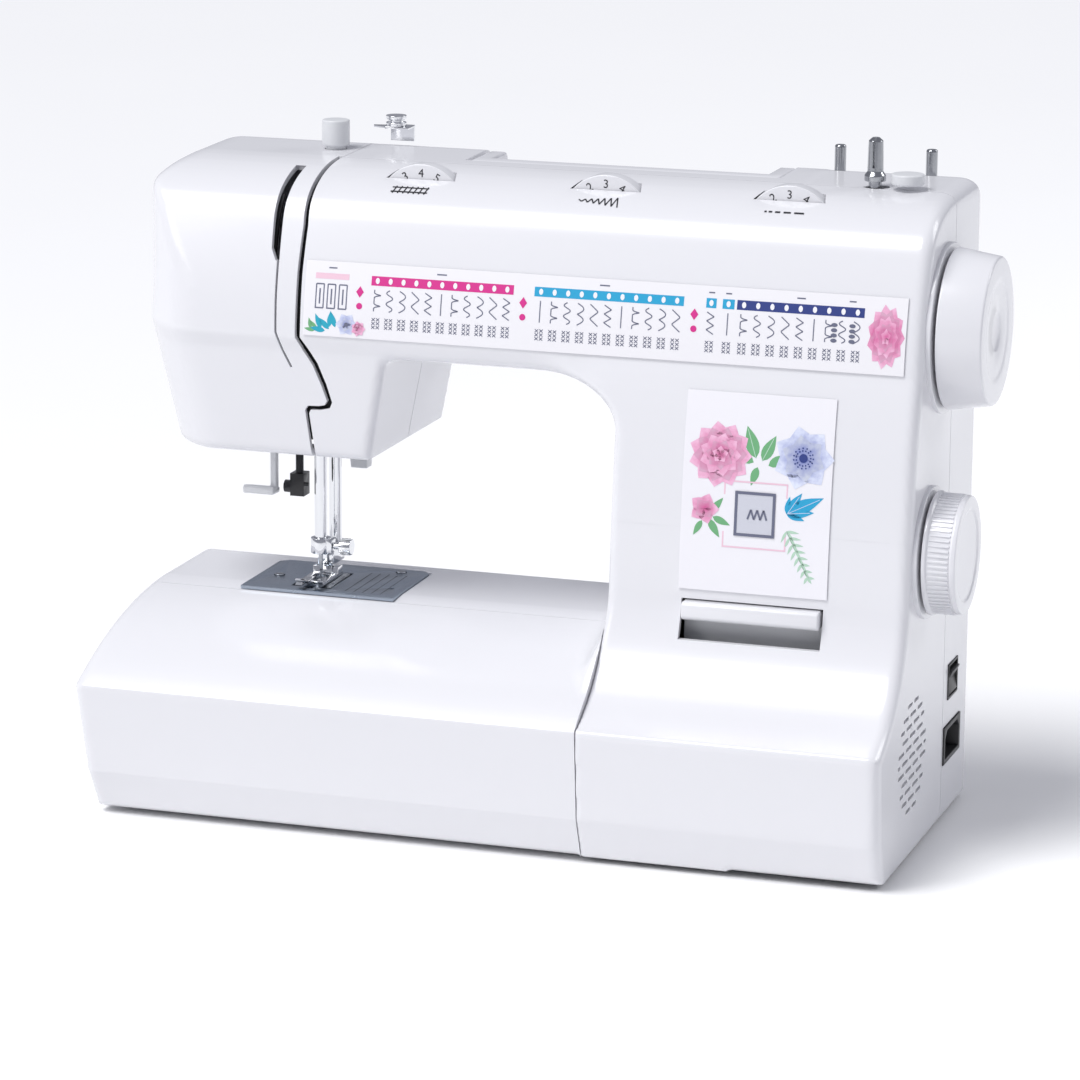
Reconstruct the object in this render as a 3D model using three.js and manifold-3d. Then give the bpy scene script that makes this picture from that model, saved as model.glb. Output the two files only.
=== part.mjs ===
// A domestic free-arm sewing machine, built as the separate pieces it comes apart into.
// Millimetres. X runs along the arm to the handwheel, Y runs to the back, Z is up.
import * as THREE from 'three';
import { mergeVertices } from 'three/addons/utils/BufferGeometryUtils.js';
import Module from 'manifold-3d';

const wasm = await Module();
wasm.setup();

// Overall sizes of the housing
const BODY_LENGTH = 384;        // head end to handwheel end
const ARM_TOP = 301;            // top of the arm above the underside of the base
const BED_TOP = 96;             // working surface of the bed
const BODY_BACK = 86.5;         // back wall, measured from the shaft datum
const FRONT_REACH = 92;         // front crease of the base, measured forward of the datum
const WALL = 2.6;               // moulded wall of every cover
const SEAM = 0.4;               // gap between two covers
const FIT = 0.4;                // clearance round a piece that another piece holds
const COLUMN_WIDTH = 142.5;
const HEAD_WIDTH = 126;
const HEAD_DEPTH = 137;         // top of the arm to the bottom of the head
const ARM_DEPTH = 86.5;         // top of the arm to its underside
const CREASE_DEPTH = 80;        // top of the arm to the crease along its front
const CREASE_HEIGHT = 62.5;     // crease along the front of the base
const FREE_ARM_BOTTOM = 38;
const FREE_ARM_BACK = 57;
const TABLE_SEAM = -14;         // where the extension table meets the free arm
const COVER_SEAM = 33.5;        // where the front cover meets the rear cover
const FOOT_HEIGHT = 2.5;

// Sizes of the mechanism
const NEEDLE_INSET = 81.5;      // needle from the head end
const NEEDLE_Y = 8;
const PRESSER_Y = 28;
const BAR_RADIUS = 3;
const PLATE_THICKNESS = 1.6;
const SHAFT_RADIUS = 5;
const SHAFT_Y = 17.3;
const SHAFT_DROP = 62;          // upper shaft below the top of the arm
const HOOK_AXIS_Z = 70;
const HOOK_RADIUS = 17;
const BELT_THICKNESS = 1.5;
const DRIVE_PULLEY_RADIUS = 30;
const MOTOR_PULLEY_RADIUS = 7;
const TIMING_PULLEY_RADIUS = 12;
const MOTOR_RADIUS = 24;
const MOTOR_Y = 55;
const MOTOR_Z = 60;
const MOTOR_CLEARANCE = 25.5;   // column's left face to the end of the motor
const WHEEL_RADIUS = 37.4;
const WHEEL_WIDTH = 20.8;
const SELECTOR_RADIUS = 28.7;
const SELECTOR_WIDTH = 15.3;
const SELECTOR_Y = -6.7;
const SELECTOR_DROP = 100;      // pattern selector below the upper shaft
const DRUM_RADIUS = 30.5;
const DIAL_RADIUS = 21.5;
const DIAL_THICKNESS = 9;
const DIAL_FACE_Y = 8.5;
const PIN_RADIUS = 2.7;
const TAKE_UP_PIN = 1.8;
const LIFTER_PIN = 1.2;
const FEED_RISE = 0.5;
const DIAL_PIN = 1.5;
const WINDER_PIN = 2.1;

// Places worked out from the sizes
const left = -BODY_LENGTH / 2;
const right = BODY_LENGTH / 2;
const columnLeft = right - COLUMN_WIDTH;
const headRight = left + HEAD_WIDTH;
const headBottom = ARM_TOP - HEAD_DEPTH;
const armBottom = ARM_TOP - ARM_DEPTH;
const armCrease = ARM_TOP - CREASE_DEPTH;
const needleX = left + NEEDLE_INSET;
const shaftZ = ARM_TOP - SHAFT_DROP;
const selectorZ = shaftZ - SELECTOR_DROP;
const faceSeam = needleX + 2.5;
const plateTop = BED_TOP + 0.8;
const dialZ = ARM_TOP + 0.8 - DIAL_RADIUS;

const machine = new THREE.Group();

// ---------- Solids ----------
function solid(geometry) {
  const bare = new THREE.BufferGeometry();
  bare.setAttribute('position', geometry.getAttribute('position'));
  if (geometry.index) bare.setIndex(geometry.index);
  const merged = mergeVertices(bare, 1e-4);
  return new wasm.Manifold(new wasm.Mesh({
    numProp: 3,
    vertProperties: Float32Array.from(merged.getAttribute('position').array),
    triVerts: Uint32Array.from(merged.index.array),
  }));
}

function counterClockwise(points) {
  return THREE.ShapeUtils.isClockWise(points) ? points.slice().reverse() : points;
}

function extrude(points, depth, matrix) {
  const shape = new THREE.Shape(counterClockwise(points));
  const geometry = new THREE.ExtrudeGeometry(shape, { depth, bevelEnabled: false });
  return solid(geometry.applyMatrix4(matrix));
}

const axis = {
  x: new THREE.Vector3(1, 0, 0),
  y: new THREE.Vector3(0, 1, 0),
  z: new THREE.Vector3(0, 0, 1),
};

function basis(first, second, third, origin) {
  return new THREE.Matrix4().makeBasis(first, second, third).setPosition(origin);
}

// An outline in (y, z) carried along X
function extrudeX(points, x0, x1) {
  return extrude(points, x1 - x0, basis(axis.y, axis.z, axis.x, new THREE.Vector3(x0, 0, 0)));
}

// An outline in (x, z) carried along Y
function extrudeY(points, y0, y1) {
  const back = axis.y.clone().negate();
  return extrude(points, y1 - y0, basis(axis.x, axis.z, back, new THREE.Vector3(0, y1, 0)));
}

// An outline in (x, y) carried along Z
function extrudeZ(points, z0, z1) {
  return extrude(points, z1 - z0, basis(axis.x, axis.y, axis.z, new THREE.Vector3(0, 0, z0)));
}

function box(x0, x1, y0, y1, z0, z1) {
  const geometry = new THREE.BoxGeometry(x1 - x0, y1 - y0, z1 - z0);
  return solid(geometry.translate((x0 + x1) / 2, (y0 + y1) / 2, (z0 + z1) / 2));
}

function points(list) {
  return list.map(([u, v]) => new THREE.Vector2(u, v));
}

const alongAxis = {
  x: new THREE.Matrix4().makeRotationZ(-Math.PI / 2),
  y: new THREE.Matrix4(),
  z: new THREE.Matrix4().makeRotationX(Math.PI / 2),
};

// A round piece turned about an axis through centre: [radius, distance along the axis] pairs
function turned(direction, centre, profile, segments = 24) {
  const geometry = new THREE.LatheGeometry(points(profile), segments);
  geometry.applyMatrix4(alongAxis[direction]);
  geometry.translate(...centre);
  const made = solid(geometry);
  return made.volume() < 0 ? flipped(geometry) : made;
}

function flipped(geometry) {
  const index = Array.from(geometry.index.array);
  for (let i = 0; i < index.length; i += 3) [index[i], index[i + 1]] = [index[i + 1], index[i]];
  geometry.setIndex(index);
  return solid(geometry);
}

function rod(direction, centre, radius, from, to, segments = 16) {
  const profile = [[0, from], [radius, from], [radius, to], [0, to]];
  return turned(direction, centre, profile, segments);
}

function ring(direction, centre, inner, outer, from, to, segments = 24) {
  const profile = [[inner, from], [outer, from], [outer, to], [inner, to], [inner, from]];
  return turned(direction, centre, profile, segments);
}

function union(pieces) {
  return pieces.reduce((all, piece) => all.add(piece));
}

function without(body, cuts) {
  return cuts.reduce((rest, cut) => rest.subtract(cut), body);
}

// Moves every edge of a closed outline inwards by distance
function inset(outline, distance) {
  const loop = counterClockwise(outline);
  const normals = loop.map((point, i) => {
    const next = loop[(i + 1) % loop.length];
    return new THREE.Vector2(point.y - next.y, next.x - point.x).normalize();
  });
  return loop.map((point, i) => {
    const before = normals[(i + loop.length - 1) % loop.length];
    const after = normals[i];
    const mitre = before.clone().add(after).divideScalar(1 + before.dot(after));
    return point.clone().addScaledVector(mitre, distance);
  });
}

function cleaned(list) {
  return list.filter((point, i) => point.distanceTo(list[(i + 1) % list.length]) > 1e-6);
}

// ---------- Materials and nodes ----------
const finish = {
  white: { color: 0xf2f2f6, roughness: 0.25, metalness: 0 },
  softWhite: { color: 0xe9e9ee, roughness: 0.35, metalness: 0 },
  clear: { color: 0xf6f8ff, roughness: 0.1, metalness: 0 },
  grey: { color: 0xb9bac0, roughness: 0.4, metalness: 0 },
  black: { color: 0x141416, roughness: 0.45, metalness: 0 },
  chrome: { color: 0xd4d6da, roughness: 0.12, metalness: 1 },
  steel: { color: 0x9aa0a8, roughness: 0.32, metalness: 1 },
  plate: { color: 0x8b95a1, roughness: 0.28, metalness: 1 },
  casting: { color: 0x8c8f92, roughness: 0.6, metalness: 0.8 },
  rubber: { color: 0x1b1b1c, roughness: 0.85, metalness: 0 },
  print: { color: 0xf5f1f6, roughness: 0.3, metalness: 0 },
  lamp: { color: 0xfff6df, roughness: 0.1, metalness: 0 },
};

function addPiece(name, body, look) {
  const mesh = body.getMesh();
  const geometry = new THREE.BufferGeometry();
  geometry.setAttribute('position', new THREE.BufferAttribute(mesh.vertProperties, mesh.numProp));
  geometry.setIndex(new THREE.BufferAttribute(mesh.triVerts, 1));
  geometry.computeVertexNormals();
  const piece = new THREE.Mesh(geometry, new THREE.MeshStandardMaterial(finish[look]));
  piece.name = name;
  machine.add(piece);
  return piece;
}

// ---------- Housing outlines ----------
// Front of the machine seen from the end, as (y, z): a raked base, a hollow curve up the
// column, a full shoulder and a flat top
function columnProfile() {
  const path = new THREE.Path();
  path.moveTo(12 - FRONT_REACH, 0);
  path.lineTo(4 - FRONT_REACH, 20);
  path.lineTo(-FRONT_REACH, CREASE_HEIGHT);
  path.quadraticCurveTo(-49, CREASE_HEIGHT + 19.5, -44.5, BED_TOP + 23);
  path.quadraticCurveTo(-39, ARM_TOP - 111, -27, ARM_TOP - 65);
  path.bezierCurveTo(-22, ARM_TOP - 29, -14, ARM_TOP - 9, 28, ARM_TOP - 2.5);
  path.quadraticCurveTo(48, ARM_TOP, BODY_BACK - 14, ARM_TOP);
  path.absarc(BODY_BACK - 14, ARM_TOP - 14, 14, Math.PI / 2, 0, true);
  path.lineTo(BODY_BACK, 0);
  return cleaned(path.getPoints(7));
}

// The bed seen from the end, as (y, z)
function bedProfile() {
  const path = new THREE.Path();
  path.moveTo(12 - FRONT_REACH, 0);
  path.lineTo(4 - FRONT_REACH, 20);
  path.lineTo(-FRONT_REACH, CREASE_HEIGHT);
  path.quadraticCurveTo(-55, BED_TOP - 2, 4, BED_TOP);
  path.absarc(FREE_ARM_BACK - 5, BED_TOP - 5, 5, Math.PI / 2, 0, true);
  path.lineTo(FREE_ARM_BACK, 0);
  return cleaned(path.getPoints(8));
}

// The C of head, arm and column seen from the front, as (x, z)
function frontOutline() {
  const path = new THREE.Path();
  path.moveTo(columnLeft, 0);
  path.lineTo(right, 0);
  path.lineTo(right, ARM_TOP - 10);
  path.absarc(right - 10, ARM_TOP - 10, 10, 0, Math.PI / 2, false);
  path.lineTo(left + 22, ARM_TOP);
  path.absarc(left + 22, ARM_TOP - 22, 22, Math.PI / 2, Math.PI, false);
  path.lineTo(left, armCrease);
  path.lineTo(left + 11.5, headBottom);
  path.lineTo(headRight - 9.5, headBottom);
  path.lineTo(headRight, armBottom - 6);
  path.quadraticCurveTo(headRight + 1, armBottom, headRight + 8, armBottom);
  path.lineTo(columnLeft - 37, armBottom);
  path.quadraticCurveTo(columnLeft, armBottom - 2, columnLeft, armBottom - 30);
  return cleaned(path.getPoints(6));
}

// The head seen from above, as (x, y): both outer corners are full rounds
function headPlan() {
  const radius = 42;
  const front = -30;
  const path = new THREE.Path();
  path.moveTo(right + 10, front);
  path.lineTo(right + 10, BODY_BACK);
  path.lineTo(left + radius, BODY_BACK);
  path.absarc(left + radius, BODY_BACK - radius, radius, Math.PI / 2, Math.PI, false);
  path.absarc(left + radius, front + radius, radius, Math.PI, 1.5 * Math.PI, false);
  return cleaned(path.getPoints(6));
}

// The left end of the bed leans out to the crease and back in above it, as (x, z)
function bedEnd(rightEdge) {
  return points([
    [left, -1],
    [rightEdge, -1],
    [rightEdge, BED_TOP + 1],
    [left + 1.5, BED_TOP + 1],
    [left - 4, CREASE_HEIGHT],
  ]);
}

// Front of the column at a height: the y of its surface
const columnFront = columnProfile();
function frontY(z) {
  const above = columnFront.findIndex((point) => point.y >= z);
  const low = columnFront[above - 1];
  const high = columnFront[above];
  return low.x + (high.x - low.x) * (z - low.y) / (high.y - low.y);
}

// A skin on the front between two heights, standing from near to far off the surface
function frontSkin(x0, x1, z0, z1, near, far) {
  const steps = 6;
  const heights = Array.from({ length: steps + 1 }, (_, i) => z0 + (z1 - z0) * i / steps);
  const inner = heights.map((z) => [frontY(z) - near, z]);
  const outer = heights.reverse().map((z) => [frontY(z) - far, z]);
  return extrudeX(points([...inner, ...outer]), x0, x1);
}

// ---------- Covers ----------
const FAR = 500;

// The front of the head and arm falls back below the crease
function undercut(depth) {
  const front = frontY(armCrease);
  const wedge = points([
    [front - 60, armCrease],
    [front - 60, headBottom - 40],
    [front + 9, headBottom - 40],
    [front + 8, headBottom],
    [front, armCrease],
  ]);
  return extrudeX(inset(wedge, -depth), left - 10, columnLeft - depth);
}

// Head, arm and column as one block, every face moved in by depth
function bodyBlock(depth) {
  const long = extrudeX(inset(columnProfile(), depth), left + depth, right - depth);
  const front = extrudeY(inset(frontOutline(), depth), -FAR, FAR);
  const corners = box(left - 10, left + 60, -FAR, FAR, headBottom - 10, ARM_TOP + 10)
    .subtract(extrudeZ(inset(headPlan(), depth), headBottom - 20, ARM_TOP + 20));
  return without(long.intersect(front), [undercut(depth), corners]);
}

const padDepth = 2;
function sidePads() {
  return union([
    rod('x', [0, SHAFT_Y, shaftZ], WHEEL_RADIUS + 2, right - 1, right + padDepth, 32),
    rod('x', [0, SELECTOR_Y, selectorZ], SELECTOR_RADIUS + 2, right - 1, right + padDepth, 32),
  ]);
}

// The shallow well in the top that the folded carrying handle lies in
const handleLeft = left + 142;
const handleRight = right - 87;
const wellFront = 44;
const wellDepth = 11;
const wellFloor = ARM_TOP - wellDepth;
function handleWell(grow) {
  return box(handleLeft - grow, handleRight + grow, wellFront - grow, FAR, wellFloor - grow, FAR);
}

const dialPlaces = {
  tension_dial: needleX + 50.7,
  width_dial: (needleX + 50.7 + right - 73.1) / 2 + 1.4,
  length_dial: right - 73.1,
};

const windowX0 = right - 82;
const windowX1 = windowX0 + 18.5;
const windowZ0 = selectorZ + 9.5;
const windowZ1 = windowZ0 + 20;
const leverX0 = columnLeft + 36.5;
const leverX1 = leverX0 + 66;
const leverZ0 = BED_TOP + 3;
const leverZ1 = leverZ0 + 18;

const switchSeat = { y0: 43, y1: 60, z0: 57, z1: 72 };
const inletSeat = { y0: 35, y1: 69, z0: 25, z1: 44 };
const winderPivot = new THREE.Vector2(right - 47.5, 66);
const winderRest = new THREE.Vector2(right - 40, COVER_SEAM + 3);
const winderSwing = THREE.MathUtils.degToRad(6);
const winderStop = new THREE.Vector2(right - 24, COVER_SEAM + 0.5);
const spoolPins = { spool_pin_left: right - 67, spool_pin_right: right - 23 };
const spoolPinY = BODY_BACK - 9.5;
const pressureDial = { x: needleX - 9.2, y: 55, radius: 6.8 };

function winderPlace(turn) {
  return winderRest.clone().rotateAround(winderPivot, turn).toArray();
}

// Rows of staggered slots inside a round field on the handwheel end
function ventSlots() {
  const centreY = -27;
  const centreZ = 48;
  const fieldRadius = 27;
  const pitch = 5;
  const slotWidth = 1.8;
  const slotLength = 11;
  const bridge = 3;
  const slots = [];
  for (let row = -5; row <= 5; row += 1) {
    const half = Math.sqrt(fieldRadius ** 2 - (row * pitch) ** 2);
    const shift = row % 2 === 0 ? 0 : (slotLength + bridge) / 2;
    for (let place = -3; place <= 3; place += 1) {
      const start = Math.max(shift + place * (slotLength + bridge) - slotLength / 2, -half);
      const end = Math.min(start + slotLength, shift + place * (slotLength + bridge) + slotLength / 2, half);
      if (end - start < 3) continue;
      const z = centreZ + row * pitch;
      slots.push(box(right - WALL - 1, right + 1, centreY + start, centreY + end,
        z - slotWidth / 2, z + slotWidth / 2));
    }
  }
  return slots;
}

function headOpenings() {
  return [
    box(needleX - 24, needleX + 11, -4, PRESSER_Y + 8, headBottom - 5, headBottom + 4),
    box(needleX - 3, needleX + 34, 45, 57, headBottom - 5, headBottom + 4),
  ];
}

function coverOpenings() {
  const dials = Object.values(dialPlaces).map((x) => rod('y', [x, 0, dialZ], DIAL_RADIUS + 0.8,
    DIAL_FACE_Y - FIT, DIAL_FACE_Y + DIAL_THICKNESS + FIT, 32));
  const pins = Object.values(spoolPins).map((x) => rod('z', [x, spoolPinY, 0], PIN_RADIUS + FIT,
    ARM_TOP - 10, ARM_TOP + 10));
  const winder = [0, 0.5, 1].map((share) => {
    const [x, y] = winderPlace(winderSwing * share);
    return rod('z', [x, y, 0], 4.2, ARM_TOP - 10, ARM_TOP + 10);
  });
  return [
    ...dials, ...pins, ...winder, ...headOpenings(), ...ventSlots(),
    rod('z', [pressureDial.x, pressureDial.y, 0], 5 + FIT, ARM_TOP - 10, ARM_TOP + 10),
    rod('x', [0, SHAFT_Y, shaftZ], SHAFT_RADIUS + 1, right - 10, right + 10),
    rod('x', [0, SELECTOR_Y, selectorZ], 4 + 1, right - 10, right + 10),
    box(windowX0, windowX1, -80, 0, windowZ0, windowZ1),
    box(leverX0, leverX1, -80, -20, leverZ0, leverZ1),
    box(right - 10, right + 10, switchSeat.y0, switchSeat.y1, switchSeat.z0, switchSeat.z1),
    box(right - 10, right + 10, inletSeat.y0, inletSeat.y1, inletSeat.z0, inletSeat.z1),
    rod('x', [0, handlePivotY, handlePivotZ], 2.4 + FIT, handleLeft - WALL - 1, handleLeft + 1),
    rod('x', [0, handlePivotY, handlePivotZ], 2.4 + FIT, handleRight - 1, handleRight + WALL + 1),
  ];
}

const handlePivotY = BODY_BACK - 10.5;
const handlePivotZ = ARM_TOP - 6;

// Clear way through the column's left wall for the free arm and the base plate
const portFront = TABLE_SEAM + 5.5;
const portBack = FREE_ARM_BACK - 4.5;

function wholeShell() {
  const outer = bodyBlock(0).add(sidePads()).subtract(handleWell(0));
  const inner = bodyBlock(WALL).subtract(handleWell(WALL));
  const underside = box(columnLeft + WALL, right - WALL, 15 - FRONT_REACH, BODY_BACK - WALL, -1, 4);
  const port = box(columnLeft - 1, columnLeft + WALL + 1, portFront, portBack, -1, BED_TOP - 8);
  return without(outer.subtract(inner), [underside, port, ...coverOpenings()]);
}

function splitCovers() {
  const shell = wholeShell();
  const half = SEAM / 2;
  const channel = 1.1;
  const face = shell.intersect(box(-FAR, faceSeam - channel, -FAR, FAR, -FAR, FAR));
  const front = shell.intersect(box(faceSeam + channel, FAR, -FAR, COVER_SEAM - half, -FAR, FAR));
  const rear = shell.intersect(box(faceSeam + channel, FAR, COVER_SEAM + half, FAR, -FAR, FAR));
  const takeUpSlot = box(needleX - 13.3, needleX - 9.1, -FAR, 20, armCrease + 36, ARM_TOP - 4);
  const takeUpSlit = box(needleX - 12.7, needleX - 9.7, -FAR, 0, armCrease + 15, armCrease + 37);
  addPiece('face_cover', without(face, [takeUpSlot, takeUpSlit]), 'white');
  addPiece('front_cover', front, 'white');
  addPiece('rear_cover', rear, 'white');
}

function basePlate() {
  const bottom = 0.6;
  const top = 3.6;
  const column = box(columnLeft + WALL + FIT, right - WALL - FIT, 15.5 - FRONT_REACH,
    BODY_BACK - WALL - FIT, bottom, top);
  const tongue = box(left + 8, columnLeft + WALL + 10, portFront + FIT, portBack - FIT, bottom, top);
  addPiece('base_plate', column.add(tongue), 'casting');
}

function bedBlock(depth, rightEdge) {
  return extrudeX(inset(bedProfile(), depth), left - 20, rightEdge)
    .intersect(extrudeY(inset(bedEnd(rightEdge), depth), -FAR, FAR));
}

function extensionTable() {
  const rightEdge = columnLeft - SEAM;
  const outer = bedBlock(0, rightEdge).intersect(box(-FAR, FAR, -FAR, TABLE_SEAM, 0, FAR));
  addPiece('extension_table', outer.subtract(bedBlock(WALL, rightEdge)), 'white');
}

const plateX0 = needleX - 33;
const plateX1 = needleX + 44.5;
const plateY0 = TABLE_SEAM + SEAM;
const plateY1 = 42;

function freeArm() {
  const rightEdge = columnLeft - SEAM;
  const front = TABLE_SEAM + SEAM;
  const room = box(-FAR, FAR, front, FAR, FREE_ARM_BOTTOM, FAR);
  const innerRoom = box(-FAR, FAR, front + WALL, FAR, FREE_ARM_BOTTOM + WALL, FAR);
  const outer = bedBlock(0, rightEdge).intersect(room);
  const inner = bedBlock(WALL, rightEdge + 2 * WALL).intersect(innerRoom);
  const shell = outer.subtract(inner);
  const seat = box(plateX0 - FIT, plateX1 + FIT, front - 1, plateY1 + FIT, plateTop - 2, FAR);
  const hole = box(plateX0 + 5, plateX1 - 5, front + 6, plateY1 - 6, BED_TOP - 5, FAR);
  const door = { y0: front + 6, y1: FREE_ARM_BACK - 7, z0: FREE_ARM_BOTTOM + 8, z1: BED_TOP - 8 };
  const doorway = box(-FAR, left + 8, door.y0, door.y1, door.z0, door.z1);
  const leaf = box(-FAR, left + 8, door.y0 + FIT, door.y1 - FIT, door.z0 + FIT, door.z1 - FIT);
  addPiece('free_arm_cover', without(shell, [seat, hole, doorway]), 'white');
  addPiece('shuttle_cover', shell.intersect(leaf), 'white');
}

// ---------- Needle plate and feed ----------
const feedRows = [-7.5, 7.5];
const feedY0 = -3;
const feedY1 = 23;
const plateScrews = { plate_screw_left: [needleX - 23, 12], plate_screw_right: [needleX + 31, 36] };

function needlePlate() {
  const corner = 4;
  const outline = points([
    [plateX0, plateY0],
    [plateX1, plateY0],
    [plateX1, plateY1 - corner],
    [plateX1 - corner, plateY1],
    [plateX0 + corner, plateY1],
    [plateX0, plateY1 - corner],
  ]);
  const low = plateTop - PLATE_THICKNESS;
  const slots = feedRows.map((x) => box(needleX + x - 2.6, needleX + x + 2.6, feedY0 - 3,
    feedY1 + 3, low - 1, plateTop + 1));
  const needleSlot = box(needleX - 3.5, needleX + 3.5, NEEDLE_Y - 1.2, NEEDLE_Y + 1.2, low - 1, plateTop + 1);
  const holes = Object.values(plateScrews).map(([x, y]) => rod('z', [x, y, 0], 2.3 + FIT,
    low - 1, plateTop + 1));
  addPiece('needle_plate', without(extrudeZ(outline, low, plateTop), [...slots, needleSlot, ...holes]), 'plate');
  for (const [name, [x, y]] of Object.entries(plateScrews)) {
    const head = rod('z', [x, y, 0], 2.3, plateTop - 1, plateTop + 0.6);
    addPiece(name, head.subtract(box(x - 4, x + 4, y - 0.4, y + 0.4, plateTop, plateTop + 2)), 'steel');
  }
}

// Two toothed rows that rise through the plate's slots
function feedDog() {
  const top = plateTop + FEED_RISE;
  const low = plateTop - PLATE_THICKNESS - FIT;
  const pitch = 2;
  const rows = feedRows.map((x) => {
    const edge = [[feedY0, low - 0.5]];
    edge.push([feedY1, low - 0.5]);
    for (let y = feedY1; y > feedY0 + 0.5; y -= pitch) {
      edge.push([y, top]);
      edge.push([y - pitch + 0.2, top - 0.9]);
    }
    edge.push([feedY0, top - 0.9]);
    return extrudeX(points(edge), needleX + x - 1.8, needleX + x + 1.8);
  });
  const tray = box(needleX - 10, needleX + 10, feedY0 + 1, feedY1 - 1, low - 2, low);
  const gap = box(needleX - 4, needleX + 4, NEEDLE_Y - 4, NEEDLE_Y + 4, low - 4, low + 1);
  addPiece('feed_dog', union([tray.subtract(gap), ...rows]), 'steel');
}

// ---------- Hook ----------
const hookX = needleX - 1.5;
function hookParts() {
  const centre = [0, NEEDLE_Y, HOOK_AXIS_Z];
  const hook = ring('x', centre, 13.4, HOOK_RADIUS, hookX - 12, hookX - 1, 32)
    .add(rod('x', centre, HOOK_RADIUS, hookX - 2.5, hookX, 32));
  const notch = box(hookX - 13, hookX - 4, NEEDLE_Y + 4, NEEDLE_Y + 30, HOOK_AXIS_Z + 3, HOOK_AXIS_Z + 8);
  addPiece('hook', hook.subtract(notch), 'steel');
  const shell = ring('x', centre, 11.6, 12.8, hookX - 17, hookX - 3.2, 32)
    .add(ring('x', centre, 3, 12.8, hookX - 17, hookX - 16, 32));
  addPiece('bobbin_case', shell, 'steel');
  const bobbin = ring('x', centre, 3, 5, hookX - 14.5, hookX - 4.5)
    .add(ring('x', centre, 3, 10.4, hookX - 5, hookX - 4))
    .add(ring('x', centre, 3, 10.4, hookX - 15, hookX - 14));
  addPiece('bobbin', bobbin, 'steel');
}

// ---------- Needle bar ----------
const clampTop = plateTop + 21.5;
const clampBottom = plateTop + 14;
function needleBar() {
  const centre = [needleX, NEEDLE_Y, 0];
  addPiece('needle_bar', rod('z', centre, BAR_RADIUS, clampBottom + 1, shaftZ + 16, 20), 'chrome');
  const clamp = box(needleX - 5, needleX + 5, NEEDLE_Y - 5, NEEDLE_Y + 5, clampBottom, clampTop);
  const bore = rod('z', centre, BAR_RADIUS + 0.3, clampBottom + 0.7, clampTop + 1, 20);
  const shank = rod('z', centre, 1.3, clampBottom - 1, clampBottom + 2, 12);
  const thread = rod('x', [0, NEEDLE_Y, (clampTop + clampBottom) / 2], 1.5, needleX + 3.6, needleX + 6, 12);
  addPiece('needle_clamp', without(clamp, [bore, shank, thread]), 'chrome');
  const screwProfile = [[0, 4.2], [1.2, 4.2], [1.2, 14], [3.8, 14], [3.8, 17.5], [0, 17.5]];
  const screw = turned('x', [needleX, NEEDLE_Y, (clampTop + clampBottom) / 2], screwProfile, 20);
  addPiece('needle_clamp_screw', screw, 'chrome');
  const needleProfile = [[0, -27], [0.5, -24], [0.5, -9], [1, -8], [1, 0.4], [0, 0.4]];
  addPiece('needle', turned('z', [needleX, NEEDLE_Y, clampBottom], needleProfile, 10), 'steel');
}

// ---------- Presser bar and foot ----------
const footTop = plateTop + 3.4;
const footPivotY = 17;
const springLow = armBottom + 2.5;
const springHigh = shaftZ + 6;
const footPivotZ = footTop + 1.5;
function presserParts() {
  const centre = [needleX, PRESSER_Y, 0];
  const bar = rod('z', centre, BAR_RADIUS, footTop + 5, shaftZ + 34, 20);
  const collar = rod('z', centre, 5.5, armBottom - 2, armBottom + 1.5, 20);
  addPiece('presser_bar', bar.add(collar), 'chrome');
  const ankle = union([
    box(needleX - 4, needleX + 4, 14, PRESSER_Y + 4, footTop + 3, footTop + 12),
    box(needleX - 2, needleX + 2, 14.5, 20, footTop + 0.1, footTop + 5),
  ]);
  const ankleCuts = [
    rod('z', centre, BAR_RADIUS + 0.3, footTop + 4.7, footTop + 20, 20),
    rod('x', [0, footPivotY, footPivotZ], 0.9, needleX - 5, needleX + 5, 12),
  ];
  addPiece('foot_holder', without(ankle, ankleCuts), 'chrome');
  const sole = plateTop + FEED_RISE + 0.8;
  const foot = union([
    box(needleX - 6.5, needleX + 6.5, -5, 21, sole, plateTop + 2.6),
    box(needleX - 6.5, needleX - 2.6, 14, 20, plateTop + 2, footTop + 2.3),
    box(needleX + 2.6, needleX + 6.5, 14, 20, plateTop + 2, footTop + 2.3),
    rod('x', [0, footPivotY, footPivotZ], 0.55, needleX - 4, needleX + 4, 10),
  ]);
  const toes = [-1, 1].map((side) => extrudeX(
    points([[-11, plateTop + 4], [-10, plateTop + 4.6], [-4, plateTop + 2.6], [-4, sole]]),
    needleX + Math.min(side * 1.4, side * 6.5), needleX + Math.max(side * 1.4, side * 6.5)));
  const footCuts = [
    box(needleX - 4, needleX + 4, NEEDLE_Y - 3, NEEDLE_Y + 3, plateTop, plateTop + 9),
    box(needleX - 1.4, needleX + 1.4, -6, NEEDLE_Y, plateTop, plateTop + 9),
  ];
  addPiece('presser_foot', without(union([foot, ...toes]), footCuts), 'chrome');
  const coil = new THREE.CatmullRomCurve3(Array.from({ length: 73 }, (_, i) => {
    const turn = i / 12 * 2 * Math.PI;
    const rise = springLow + (springHigh - springLow) * i / 72;
    return new THREE.Vector3(needleX + 4.3 * Math.cos(turn), PRESSER_Y + 4.3 * Math.sin(turn), rise);
  }));
  const wire = new THREE.Shape(new THREE.EllipseCurve(0, 0, 0.6, 0.6).getPoints(5).slice(0, -1));
  const spring = new THREE.ExtrudeGeometry(wire, { steps: 72, bevelEnabled: false, extrudePath: coil });
  addPiece('presser_spring', solid(spring), 'steel');
}

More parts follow.
